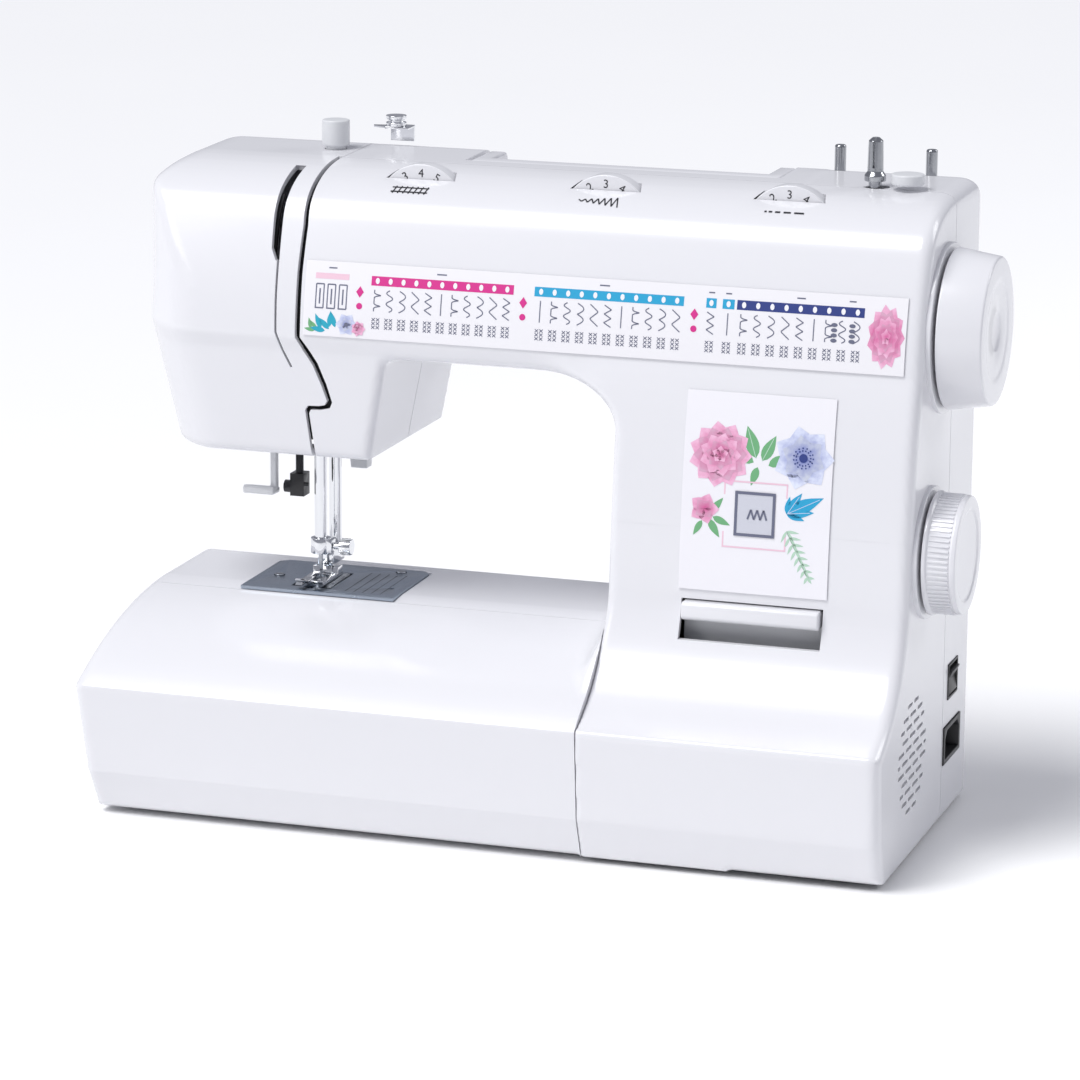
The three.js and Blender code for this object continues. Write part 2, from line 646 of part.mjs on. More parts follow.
const lifterPivot = { x: needleX + 4.5, y: 51, z: headBottom + 9 };
function presserLifter() {
  const { x, y, z } = lifterPivot;
  const arm = box(x - 4, x + 4, y - 3, y + 3, z - 28, z);
  const grip = box(x - 5.2, x + 5.2, y - 4, y + 4, z - 29, z - 14);
  const boss = rod('y', [x, 0, z], 4, y - 4, y + 4);
  const hole = rod('y', [x, 0, z], LIFTER_PIN + FIT, y - 6, y + 6);
  addPiece('presser_lifter', union([arm, grip, boss]).subtract(hole), 'softWhite');
}

function topPressureDial() {
  const { x, y, radius } = pressureDial;
  const seat = ARM_TOP + 0.3;
  const profile = [[0, -9], [5, -9], [5, seat - ARM_TOP], [radius, seat - ARM_TOP],
    [radius, 12], [radius - 1, 13], [0, 13]];
  addPiece('pressure_dial', turned('z', [x, y, ARM_TOP], profile, 24), 'clear');
}

// ---------- Take-up lever and threader ----------
const takeUpPivotZ = shaftZ + 24;
function takeUp() {
  const x0 = needleX - 12;
  const x1 = x0 + 1.6;
  const lever = points([
    [SHAFT_Y + 3, shaftZ + 26],
    [SHAFT_Y - 3, shaftZ + 27],
    [-14, shaftZ + 3],
    [-16, shaftZ - 4],
    [-12, shaftZ - 6],
    [SHAFT_Y + 4, shaftZ + 19],
  ]);
  const eye = rod('x', [0, -13, shaftZ - 2], 1.2, x0 - 1, x1 + 1, 10);
  const pin = rod('x', [0, SHAFT_Y, takeUpPivotZ], TAKE_UP_PIN, x0, x1 + 7);
  addPiece('take_up_lever', extrudeX(lever, x0, x1).subtract(eye).add(pin), 'chrome');
}

function threader() {
  const stemX = needleX - 11.5;
  const stem = rod('z', [stemX, NEEDLE_Y + 2, 0], 1.8, headBottom - 26, headBottom + 30, 12);
  const head = box(stemX - 3.5, stemX + 3.5, NEEDLE_Y - 2, NEEDLE_Y + 6, headBottom - 26, headBottom - 15);
  const knob = rod('x', [0, NEEDLE_Y + 1, headBottom - 22], 3, stemX - 7, stemX - 3, 16);
  const peg = rod('x', [0, NEEDLE_Y - 1, headBottom - 20], 1, stemX + 3, stemX + 5.7, 10);
  addPiece('threader_head', union([stem, head, knob, peg]), 'black');
  const armX = needleX - 21;
  const arm = box(armX - 1.5, armX + 1.5, -1, 3, headBottom - 22, headBottom + 26);
  const pad = box(armX - 14, armX - 1, -4, 4, headBottom - 24, headBottom - 20.5);
  addPiece('threader_lever', arm.add(pad), 'softWhite');
}

// ---------- Shafts, pulleys, belts and motor ----------
const driveX = right - 26;
const timingX = right - 42;
function pulley(centre, radius, bore, x0, x1) {
  const disc = rod('x', centre, radius, x0, x1, 32);
  return disc.subtract(rod('x', centre, bore, x0 - 1, x1 + 1));
}

// The line of a belt round two pulleys, as (y, z)
function beltLine(first, firstRadius, second, secondRadius) {
  const dy = second[0] - first[0];
  const dz = second[1] - first[1];
  const heading = Math.atan2(dz, dy);
  const lean = Math.acos((firstRadius - secondRadius) / Math.hypot(dy, dz));
  const path = new THREE.Path();
  path.absarc(second[0], second[1], secondRadius, heading - lean, heading + lean, false);
  path.absarc(first[0], first[1], firstRadius, heading + lean, heading - lean + 2 * Math.PI, false);
  return cleaned(path.getPoints(10));
}

function belt(name, first, firstRadius, second, secondRadius, x0, x1) {
  const gap = 0.3;
  const outer = extrudeX(beltLine(first, firstRadius + gap + BELT_THICKNESS, second,
    secondRadius + gap + BELT_THICKNESS), x0, x1);
  const inner = extrudeX(beltLine(first, firstRadius + gap, second, secondRadius + gap), x0 - 1, x1 + 1);
  addPiece(name, outer.subtract(inner), 'rubber');
}

function drive() {
  const upper = [0, SHAFT_Y, shaftZ];
  const lower = [0, NEEDLE_Y, HOOK_AXIS_Z];
  const crank = rod('x', upper, 16, needleX + 14.5, needleX + 20.5, 28);
  addPiece('upper_shaft', rod('x', upper, SHAFT_RADIUS, needleX + 16, right + padDepth + 0.7).add(crank), 'steel');
  addPiece('drive_pulley', pulley(upper, DRIVE_PULLEY_RADIUS, SHAFT_RADIUS + 0.3, driveX, driveX + 6), 'grey');
  addPiece('timing_pulley', pulley(upper, TIMING_PULLEY_RADIUS, SHAFT_RADIUS + 0.3, timingX, timingX + 6), 'grey');
  const lowerPulley = rod('x', lower, TIMING_PULLEY_RADIUS, timingX, timingX + 6, 32);
  addPiece('lower_shaft', rod('x', lower, SHAFT_RADIUS, hookX + 0.3, timingX + 12).add(lowerPulley), 'steel');
  const motorStart = columnLeft + MOTOR_CLEARANCE;
  const motor = turned('x', [0, MOTOR_Y, MOTOR_Z], [[0, motorStart], [MOTOR_RADIUS - 4, motorStart],
    [MOTOR_RADIUS, motorStart + 4], [MOTOR_RADIUS, right - 46], [MOTOR_RADIUS - 4, right - 42], [8, right - 42],
    [8, right - 40], [0, right - 40]], 28);
  addPiece('motor', motor, 'casting');
  const motorPulley = rod('x', [0, MOTOR_Y, MOTOR_Z], MOTOR_PULLEY_RADIUS, driveX, driveX + 6, 24)
    .add(rod('x', [0, MOTOR_Y, MOTOR_Z], 3, right - 39.7, driveX + 7));
  addPiece('motor_pulley', motorPulley, 'steel');
  belt('motor_belt', [SHAFT_Y, shaftZ], DRIVE_PULLEY_RADIUS, [MOTOR_Y, MOTOR_Z], MOTOR_PULLEY_RADIUS,
    driveX + 0.5, driveX + 5.5);
  belt('timing_belt', [SHAFT_Y, shaftZ], TIMING_PULLEY_RADIUS, [NEEDLE_Y, HOOK_AXIS_Z],
    TIMING_PULLEY_RADIUS, timingX + 0.5, timingX + 5.5);
}

// One casting ties the bearings together: a post in the column, a beam in the arm, a beam in
// the bed and two guide plates in the head
function frameCasting() {
  const y0 = 24.5;
  const y1 = 30.5;
  const postX0 = columnLeft + 10.5;
  const postX1 = timingX - 2;
  const post = box(postX0, postX1, y0, y1, 4, shaftZ + 23);
  const foot = box(postX0, postX1, 0, y1, 4, 8);
  const upperBeam = box(headRight + 6, postX1, y0, y1, shaftZ - 17, shaftZ + 23);
  const lowerBeam = box(needleX - 60, postX1, y0, y1, FREE_ARM_BOTTOM + 6, HOOK_AXIS_Z - 10);
  const shoulder = box(headRight + 6, headRight + 10, y0, 40, shaftZ - 17, shaftZ + 23);
  const headWeb = box(needleX + 10.5, headRight - 5.5, 34, 40, armBottom - 8, shaftZ + 23)
    .add(box(headRight - 6, headRight + 10, 34, 40, shaftZ - 17, shaftZ + 23));
  const headHanger = box(needleX + 10.5, needleX + 26.5, 34, 40, headBottom + 12, armBottom);
  const guides = [headBottom + 12, armBottom - 9].map((z) => box(needleX - 7.5, needleX + 26.5, 2, 40, z, z + 6));
  const upperBearings = [headRight + 6, postX1 - 8].map((x) => box(x, x + 8, 8, y0 + 1, shaftZ - 10, shaftZ + 10));
  const lowerBearings = [needleX + 10.5, postX1 - 12].map((x) => box(x, x + 8, -2, y0 + 1,
    HOOK_AXIS_Z - 12, HOOK_AXIS_Z + 10));
  const springSeat = box(needleX - 7.5, needleX + 12, 22, 40, springHigh + 1, springHigh + 6);
  const takeUpLug = box(needleX - 9.4, needleX - 4.6, 12, 40, takeUpPivotZ - 5, takeUpPivotZ + 5)
    .add(box(needleX - 9.4, needleX + 11, 34, 40, shaftZ + 13, shaftZ + 23));
  const lifterLug = box(lifterPivot.x - 5, lifterPivot.x + 5, 34, 40, lifterPivot.z - 5, lifterPivot.z + 4)
    .add(rod('y', [lifterPivot.x, 0, lifterPivot.z], LIFTER_PIN, 38, lifterPivot.y + 5));
  const dialPosts = Object.values(dialPlaces).map((x) => box(x - 6, x + 6, y0, y1, shaftZ + 20, dialZ + 6)
    .add(rod('y', [x, 0, dialZ], DIAL_PIN, DIAL_FACE_Y + DIAL_THICKNESS - 3, y0 + 1)));
  const winderBracket = box(postX1 - 7, postX1, y0, winderPivot.y + 5, shaftZ + 19, shaftZ + 23)
    .add(rod('z', [winderPivot.x, winderPivot.y, 0], WINDER_PIN, shaftZ + 20, ARM_TOP - 9));
  const cuts = [
    rod('x', [0, SHAFT_Y, shaftZ], SHAFT_RADIUS + 0.3, left, right),
    rod('x', [0, NEEDLE_Y, HOOK_AXIS_Z], SHAFT_RADIUS + 0.3, left, right),
    rod('z', [needleX, NEEDLE_Y, 0], BAR_RADIUS + FIT, headBottom, ARM_TOP),
    rod('z', [needleX, PRESSER_Y, 0], BAR_RADIUS + FIT, headBottom, ARM_TOP),
    rod('x', [0, SHAFT_Y, takeUpPivotZ], TAKE_UP_PIN + FIT, needleX - 10, needleX - 4),
  ];
  const whole = union([post, foot, upperBeam, lowerBeam, shoulder, headWeb, headHanger, springSeat,
    takeUpLug, lifterLug, winderBracket, ...dialPosts, ...guides, ...upperBearings, ...lowerBearings]);
  addPiece('frame_casting', without(whole, cuts), 'casting');
}

// ---------- Controls ----------
function handwheel() {
  const start = right + padDepth + 1;
  const profile = [[0, 0], [WHEEL_RADIUS - 1, 0], [WHEEL_RADIUS, 1], [WHEEL_RADIUS - 1.5, WHEEL_WIDTH - 4],
    [WHEEL_RADIUS - 4, WHEEL_WIDTH], [0, WHEEL_WIDTH]];
  addPiece('handwheel', turned('x', [start, SHAFT_Y, shaftZ], profile, 40), 'white');
}

function selector() {
  const start = right + padDepth + 1;
  const profile = [[0, 0], [SELECTOR_RADIUS - 0.6, 0], [SELECTOR_RADIUS, 0.6],
    [SELECTOR_RADIUS - 0.7, SELECTOR_WIDTH - 1.5], [SELECTOR_RADIUS - 2, SELECTOR_WIDTH], [0, SELECTOR_WIDTH]];
  const centre = [start, SELECTOR_Y, selectorZ];
  addPiece('pattern_selector_dial', turned('x', centre, profile, 40), 'white');
  const drum = rod('x', [0, SELECTOR_Y, selectorZ], DRUM_RADIUS, windowX0 - 4.5, windowX1 + 4.5, 40);
  const shaft = rod('x', [0, SELECTOR_Y, selectorZ], 4, windowX1, start - 0.3);
  addPiece('selector_drum', drum.add(shaft), 'grey');
}

function topDials() {
  const centreY = DIAL_FACE_Y + DIAL_THICKNESS;
  for (const [name, x] of Object.entries(dialPlaces)) {
    const disc = rod('y', [x, 0, dialZ], DIAL_RADIUS, DIAL_FACE_Y, centreY, 40);
    const hub = rod('y', [x, 0, dialZ], 4, centreY - 1, centreY + 5);
    const bore = rod('y', [x, 0, dialZ], DIAL_PIN + FIT, centreY - 4, centreY + 6);
    addPiece(name, disc.add(hub).subtract(bore), 'white');
  }
}

function labels() {
  const gap = 0.3;
  const thickness = 0.6;
  addPiece('stitch_chart', frontSkin(faceSeam + 4, right - 8.3, armCrease + 4, armCrease + 38,
    gap, gap + thickness), 'print');
  const panel = frontSkin(windowX0 - 25.5, windowX1 + 26, selectorZ - 17, selectorZ + 73.5, gap, gap + thickness);
  addPiece('decor_panel', panel.subtract(box(windowX0, windowX1, -80, 0, windowZ0, windowZ1)), 'print');
  addPiece('window_lens', frontSkin(windowX0 + FIT, windowX1 - FIT, windowZ0 + FIT, windowZ1 - FIT,
    -1.5, gap + 1), 'clear');
}

const reversePivot = { y: -14, z: leverZ0 + 5 };
function reverseLever() {
  const x0 = leverX0 + 0.6;
  const x1 = leverX1 - 0.6;
  const face = frontY(leverZ0 + 13);
  const grip = box(x0, x1, face - 4.5, face + 8, leverZ1 - 8.6, leverZ1 - 0.6);
  const shield = box(x0 - 2, x1 + 2, face + 7, face + 8.5, leverZ0 - 5, leverZ1 + 3);
  const arms = [x0, x1 - 4].map((x) => box(x, x + 3.4, face + 8, reversePivot.y + 3,
    reversePivot.z - 3, reversePivot.z + 4));
  const pin = rod('x', [0, reversePivot.y, reversePivot.z], 1.6, x0 - 2, x1 + 1.4);
  addPiece('reverse_lever', union([grip, shield, ...arms, pin]), 'white');
}

function powerSwitch() {
  const { y0, y1, z0, z1 } = switchSeat;
  const middle = (z0 + z1) / 2;
  const rocker = points([
    [right - 6, z0 + 1.6],
    [right + 0.4, z0 + 0.8],
    [right - 1, middle],
    [right + 1.6, z1 - 2.4],
    [right - 6, z1 - 1.6],
  ]);
  addPiece('power_switch', extrudeY(rocker, y0 + 0.6, y1 - 0.6), 'black');
}

function powerInlet() {
  const { y0, y1, z0, z1 } = inletSeat;
  const back = right - 13;
  const block = box(back, right + 0.2, y0 + FIT, y1 - FIT, z0 + FIT, z1 - FIT);
  const well = box(back + 2, right + 1, y0 + 2, y1 - 2, z0 + 2, z1 - 2);
  const middle = (y0 + y1) / 2;
  const pins = [-8, 0, 8].map((offset) => rod('x', [0, middle + offset, (z0 + z1) / 2], 1.5,
    back + 1, back + 7, 12));
  addPiece('power_inlet', union([block.subtract(well), ...pins]), 'black');
}

// ---------- Top fittings ----------
function carryingHandle() {
  const x0 = handleLeft + 1.5;
  const x1 = handleRight - 1.5;
  const low = handlePivotZ - 4;
  const high = handlePivotZ + 4;
  const grip = box(x0, x1, wellFront + 1.5, wellFront + 12, low, high);
  const arms = [x0, x1 - 8].map((x) => box(x, x + 8, wellFront + 5, handlePivotY, low, high));
  const ends = [x0, x1 - 8].map((x) => rod('x', [0, handlePivotY, handlePivotZ], 4, x, x + 8, 24));
  const pins = [[handleLeft - 1.8, x0 + 2], [x1 - 2, handleRight + 1.8]].map(([from, to]) => rod('x',
    [0, handlePivotY, handlePivotZ], 2.4, from, to, 16));
  addPiece('carrying_handle', union([grip, ...arms, ...ends, ...pins]), 'softWhite');
}

function topFittings() {
  for (const [name, x] of Object.entries(spoolPins)) {
    const profile = [[0, -34], [PIN_RADIUS, -34], [PIN_RADIUS, 9.5], [PIN_RADIUS - 1, 10.5], [0, 10.5]];
    addPiece(name, turned('z', [x, spoolPinY, ARM_TOP], profile, 20), 'chrome');
  }
  const { x, y } = winderRest;
  const spindle = [[0, -16], [3, -16], [3, 1], [5, 1], [5, 4], [3.6, 5.5], [3.4, 20], [2.6, 21], [0, 21]];
  addPiece('winder_spindle', turned('z', [x, y, ARM_TOP], spindle, 24), 'chrome');
  const armLow = ARM_TOP - 14;
  const bar = [[winderPivot.x, winderPivot.y], [x, y]].map(([cx, cy]) => rod('z', [cx, cy, 0], 7,
    armLow, armLow + 4, 20));
  const across = winderRest.clone().sub(winderPivot).normalize().multiplyScalar(5);
  across.set(-across.y, across.x);
  const web = extrudeZ([
    winderPivot.clone().add(across),
    winderPivot.clone().sub(across),
    winderRest.clone().sub(across),
    winderRest.clone().add(across),
  ], armLow, armLow + 4);
  const holes = [rod('z', [x, y, 0], 3 + FIT, armLow - 1, armLow + 5, 20),
    rod('z', [winderPivot.x, winderPivot.y, 0], WINDER_PIN + FIT, armLow - 1, armLow + 5)];
  addPiece('winder_arm', without(union([...bar, web]), holes), 'steel');
  const stop = turned('z', [winderStop.x, winderStop.y, ARM_TOP + 0.3], [[0, 0], [7.8, 0], [7.8, 4], [7, 5], [0, 5]], 28);
  addPiece('winder_stop', stop, 'softWhite');
}

function threadGuide() {
  const x0 = faceSeam + 8;
  const x1 = x0 + 12;
  const standing = box(x0, x1, spoolPinY + 1, spoolPinY + 2.5, ARM_TOP + 0.3, ARM_TOP + 8);
  const shelf = box(x0, x1, spoolPinY - 8, spoolPinY + 2.5, ARM_TOP + 7, ARM_TOP + 8.2);
  const tongue = extrudeZ(points([
    [x0 + 1, spoolPinY - 7],
    [x0 + 1, spoolPinY - 1],
    [x0 - 8, spoolPinY - 3],
  ]), ARM_TOP + 7, ARM_TOP + 8.2);
  const disc = rod('z', [x0 + 4.5, spoolPinY - 3.5, 0], 5, ARM_TOP + 8, ARM_TOP + 13.5, 24);
  addPiece('thread_guide', union([standing, shelf, tongue, disc]), 'chrome');
}

function lamp() {
  const profile = [[0, 0], [4, 0.8], [7, 4], [8, 9], [6.5, 14], [5, 17], [5, 28], [0, 28]];
  addPiece('lamp_bulb', turned('z', [left + 34, 40, headBottom + 8], profile, 16), 'lamp');
}

function rubberFeet() {
  const places = {
    foot_front_right: [right - 22, -62],
    foot_rear_right: [right - 22, 68],
    foot_front_left: [columnLeft + 18, -62],
    foot_rear_left: [left + 22, 30],
  };
  for (const [name, [x, y]] of Object.entries(places)) {
    const profile = [[0, -FOOT_HEIGHT], [7, -FOOT_HEIGHT], [8, 1 - FOOT_HEIGHT], [8, 0.3], [0, 0.3]];
    addPiece(name, turned('z', [x, y, 0], profile, 20), 'rubber');
  }
}

splitCovers();
basePlate();
extensionTable();
freeArm();
needlePlate();
feedDog();
hookParts();
needleBar();
presserParts();
presserLifter();
topPressureDial();
takeUp();
threader();
drive();
frameCasting();
handwheel();
selector();
topDials();
labels();
reverseLever();
powerSwitch();
powerInlet();
carryingHandle();
topFittings();
threadGuide();
lamp();
rubberFeet();

// The origin is the middle of the footprint of the whole machine, on the surface it stands on
const reach = new THREE.Box3().setFromObject(machine);
const middle = reach.getCenter(new THREE.Vector3());
machine.position.set(-middle.x, -middle.y, -reach.min.z);
machine.updateMatrixWorld(true);

export default machine;
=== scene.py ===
from math import cos, pi, radians, sin

import bmesh
import bpy
import numpy as np
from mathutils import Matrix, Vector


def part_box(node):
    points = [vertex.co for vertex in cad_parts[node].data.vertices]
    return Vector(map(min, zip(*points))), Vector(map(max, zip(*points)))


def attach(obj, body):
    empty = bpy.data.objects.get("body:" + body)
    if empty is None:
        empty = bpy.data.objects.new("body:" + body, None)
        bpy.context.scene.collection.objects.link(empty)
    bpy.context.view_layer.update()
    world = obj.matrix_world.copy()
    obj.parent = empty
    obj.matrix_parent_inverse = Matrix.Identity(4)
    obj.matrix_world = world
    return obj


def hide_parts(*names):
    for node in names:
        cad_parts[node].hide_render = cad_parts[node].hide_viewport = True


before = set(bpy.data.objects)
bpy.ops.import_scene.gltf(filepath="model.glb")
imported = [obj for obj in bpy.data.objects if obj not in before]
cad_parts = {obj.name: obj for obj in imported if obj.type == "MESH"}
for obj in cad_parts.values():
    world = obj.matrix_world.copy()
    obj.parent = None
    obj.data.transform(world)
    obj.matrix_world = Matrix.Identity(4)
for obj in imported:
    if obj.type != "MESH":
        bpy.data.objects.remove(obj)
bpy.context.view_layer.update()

import openvdb
from mathutils import Matrix, Vector


# ---- Housing -------------------------------------------------------------------------
# The moulded white shell: a raked base, a hollow curve up the column, a full shoulder and
# a flat top, with the head rounded at both outer corners. Three covers meet at fine seams.
WALL = 2.6
datum = Vector((
    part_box("front_cover")[1].x - 0.194,
    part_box("rear_cover")[1].y - 0.0865,
    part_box("front_cover")[0].z,
))


def corners(node):
    """A CAD node's lowest and highest corners at rest, in millimetres from the datum."""
    return [(corner - datum) * 1000 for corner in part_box(node)]


def bezier(*control, steps=12):
    """Points on a quadratic curve, without its last point."""
    t = np.linspace(0, 1, steps, endpoint=False)[:, None]
    a, b, c = (np.array(point, float) for point in control)
    return list((1 - t) ** 2 * a + 2 * t * (1 - t) * b + t * t * c)


def arc(cx, cy, rx, ry, start, end, steps=10):
    turn = np.radians(np.linspace(start, end, steps))
    return list(np.stack([cx + rx * np.cos(turn), cy + ry * np.sin(turn)], 1))


shoulder = [
    *bezier((-29, 223), (-26, 252), (-16, 277)),
    *bezier((-16, 277), (-7.5, 297), (40, 300), steps=20),
    *arc(72.5, 287, 14, 14, 90, 0),
]
column_profile = np.array([
    (-80, -9), (-80, 0), (-88, 20), (-92, 62.5),
    *bezier((-92, 62.5), (-49, 80), (-44, 119), steps=20),
    *bezier((-44, 119), (-39.5, 190), (-29, 223)),
    *shoulder, (86.5, -9),
])
head_profile = np.array([(-17, 130), (-21.5, 164), (-27.2, 216), *shoulder, (86.5, 130)])
housing_outline = np.array([
    (49.5, 0), (191.5, 0), *arc(182.5, 292, 9, 9, 0, 90), *arc(-174.5, 283, 18, 18, 90, 180),
    (-191.5, 219), (-180.5, 164), (-75.5, 164), *arc(-60, 209.5, 6.5, 5, 165, 90, steps=6),
    *arc(12, 190, 37.5, 24.5, 90, 0, steps=20),
])


def outline_distance(outline, u, v):
    """Signed distance from every (u, v) to a closed outline, negative inside it."""
    nearest = np.full(u.shape, 1e9, np.float32)
    inside = np.zeros(u.shape, bool)
    for (au, av), (bu, bv) in zip(outline, np.roll(outline, -1, 0)):
        eu, ev = bu - au, bv - av
        if eu == ev == 0:
            continue
        along = np.clip(((u - au) * eu + (v - av) * ev) / (eu * eu + ev * ev), 0, 1)
        nearest = np.minimum(nearest, (u - au - along * eu) ** 2 + (v - av - along * ev) ** 2)
        if av != bv:
            inside ^= ((av > v) != (bv > v)) & (u < eu * (v - av) / ev + au)
    return np.where(inside, -1, 1) * np.sqrt(nearest)


def rounded(a, b, radius):
    """Where both fields are inside, with the meeting edge rounded."""
    over = np.hypot(np.maximum(a + radius, 0), np.maximum(b + radius, 0))
    return np.minimum(-radius, np.maximum(a, b)) + over


def field_grid(low, high, step):
    lines = [np.arange(a, b + step, step, dtype=np.float32) for a, b in zip(low, high)]
    return lines[0][:, None, None], lines[1][None, :, None], lines[2][None, None, :]


def housing_field(x, y, z):
    flat_y, flat_z = np.meshgrid(y.ravel(), z.ravel(), indexing="ij")
    column = outline_distance(column_profile, flat_y, flat_z)[None]
    head = outline_distance(head_profile, flat_y, flat_z)[None]
    share = np.clip(x / 45, 0, 1)
    share = share * share * (3 - 2 * share)
    profile = head * (1 - share) + column * share
    flat_x, flat_z = np.meshgrid(x.ravel(), z.ravel(), indexing="ij")
    front = outline_distance(housing_outline, flat_x, flat_z)[:, None]
    corner, clear_of = 49, 4
    end = np.interp(z, [164, 219, 224], [-180.5, -191.5, -192.5]) - clear_of
    face = np.interp(z, [164, 216, 223, 250], [-22, -28, -29.5, -26]) - clear_of
    rear = 86.5 + clear_of
    across = end + corner - x
    depth = np.abs(y - (face + rear) / 2) - (rear - face) / 2 + corner
    plan = np.hypot(np.maximum(across, 0), np.maximum(depth, 0)) - corner
    plan = plan + np.minimum(np.maximum(across, depth), 0) - np.maximum(x + 75, 0)
    edge = np.where(x > 120, 5, 0.3 + 3.7 * np.clip((z - 92) / 20, 0, 1))
    return rounded(rounded(profile, front, edge), plan, 3)


def to_object(name, points, faces):
    """A mesh object from points in millimetres from the datum."""
    mesh = bpy.data.meshes.new(name)
    mesh.from_pydata((np.asarray(points, float) * 0.001 + np.array(datum)).tolist(), [], faces)
    mesh.validate()
    made = bpy.data.objects.new(name, mesh)
    bpy.context.collection.objects.link(made)
    return made


def field_object(name, field, low, step, level=0.0):
    grid = openvdb.FloatGrid(3 * step)
    grid.copyFromArray(np.ascontiguousarray(np.clip(field, -3 * step, 3 * step), np.float32))
    points, triangles, quads = grid.convertToPolygons(level, 0.0)
    faces = [tuple(face) for face in quads.tolist()] + [tuple(face) for face in triangles.tolist()]
    return to_object(name, points * step + np.array(low), faces)


turned_to = {
    "x": Matrix(((0, 0, 1), (1, 0, 0), (0, 1, 0))),
    "y": Matrix(((1, 0, 0), (0, 0, -1), (0, 1, 0))),
    "z": Matrix.Identity(3),
}


def leftward(outline):
    """The outline as tuples, run so that its inside is on the left."""
    outline = [tuple(point) for point in outline]
    area = sum(a[0] * b[1] - b[0] * a[1] for a, b in zip(outline, outline[1:] + outline[:1]))
    return outline if area >= 0 else outline[::-1]


def bridged(near, far):
    """A closed solid between two matching loops of points."""
    count = len(near)
    walls = [(i, (i + 1) % count, count + (i + 1) % count, count + i) for i in range(count)]
    return [*near, *far], walls + [tuple(reversed(range(count))), tuple(range(count, 2 * count))]


def prism(axis, outline, low, high):
    """A closed outline carried along an axis: (y, z) along x, (x, z) along y, (x, y) along z."""
    outline = leftward(outline)
    near, far = (-high, -low) if axis == "y" else (low, high)
    turn = turned_to[axis]
    return bridged(*([turn @ Vector((*point, height)) for point in outline] for height in (near, far)))


def block(x0, x1, y0, y1, z0, z1):
    return prism("z", [(x0, y0), (x1, y0), (x1, y1), (x0, y1)], z0, z1)


def spun(axis, centre, profile, count=48):
    """A solid of revolution from (radius, distance) pairs that run from axis to axis."""
    turn = turned_to[axis] if axis != "y" else Matrix(((1, 0, 0), (0, 0, 1), (0, -1, 0)))
    points = []
    rings = []
    for radius, along in profile:
        if radius == 0:
            rings.append([len(points)] * count)
            points.append(turn @ Vector((0, 0, along)) + Vector(centre))
            continue
        rings.append(list(range(len(points), len(points) + count)))
        for i in range(count):
            angle = 2 * pi * i / count
            spot = Vector((radius * cos(angle), radius * sin(angle), along))
            points.append(turn @ spot + Vector(centre))
    faces = []
    for lower, upper in zip(rings, rings[1:]):
        for i in range(count):
            j = (i + 1) % count
            face = dict.fromkeys([lower[i], lower[j], upper[j], upper[i]])
            if len(face) > 2:
                faces.append(tuple(face))
    return points, faces


def rod(axis, centre, radius, low, high, count=32):
    return spun(axis, centre, [(0, low), (radius, low), (radius, high), (0, high)], count)


def merged(solids):
    points, faces = [], []
    for some, around in solids:
        faces += [tuple(i + len(points) for i in face) for face in around]
        points += list(some)
    return points, faces


def cut(target, solids, operation="DIFFERENCE"):
    """Takes every solid away from the target in turn, or keeps only what is inside them."""
    for solid in solids:
        tool = solid if isinstance(solid, bpy.types.Object) else to_object("tool", *solid)
        modifier = target.modifiers.new("cut", "BOOLEAN")
        modifier.object = tool
        modifier.operation = operation
        modifier.solver = "MANIFOLD"
        graph = bpy.context.evaluated_depsgraph_get()
        result = bpy.data.meshes.new_from_object(target.evaluated_get(graph))
        if not len(result.polygons):
            raise RuntimeError(f"nothing is left of {target.name} after a cut")
        target.modifiers.remove(modifier)
        target.data = result
        if tool is not solid:
            bpy.data.objects.remove(tool)
    return target


def copy_of(source, name):
    made = bpy.data.objects.new(name, source.data.copy())
    bpy.context.collection.objects.link(made)
    return made


def ribbon(path, width):
    """The closed outline of a stripe of constant width along a path."""
    path = np.array(path, float)
    along = np.gradient(path, axis=0)
    along /= np.linalg.norm(along, axis=1)[:, None]
    side = np.stack([-along[:, 1], along[:, 0]], 1) * width / 2
    return [*(path + side), *(path - side)[::-1]]


def slot_outline(u, v, reach, radius):
    """A slot along u with round ends."""
    return [*arc(u + reach, v, radius, radius, -90, 90, steps=5),
            *arc(u - reach, v, radius, radius, 90, 270, steps=5)]


def smooth(piece, angle=32):
    piece.data.shade_smooth()
    piece.data.set_sharp_from_angle(angle=radians(angle))
    return piece


low, high, step = (-199, -98, -6), (199, 93, 308), 1.5
housing = field_object("housing", housing_field(*field_grid(low, high, step)), low, step)
coarse = 3.5
hollow = field_object("hollow", housing_field(*field_grid(low, high, coarse)), low, coarse, -WALL)
handle_well = (-50, 105, 44, 120, 290, 320)
cut(hollow, [block(-50 - WALL, 105 + WALL, 44 - WALL, 120, 290 - WALL, 320)])

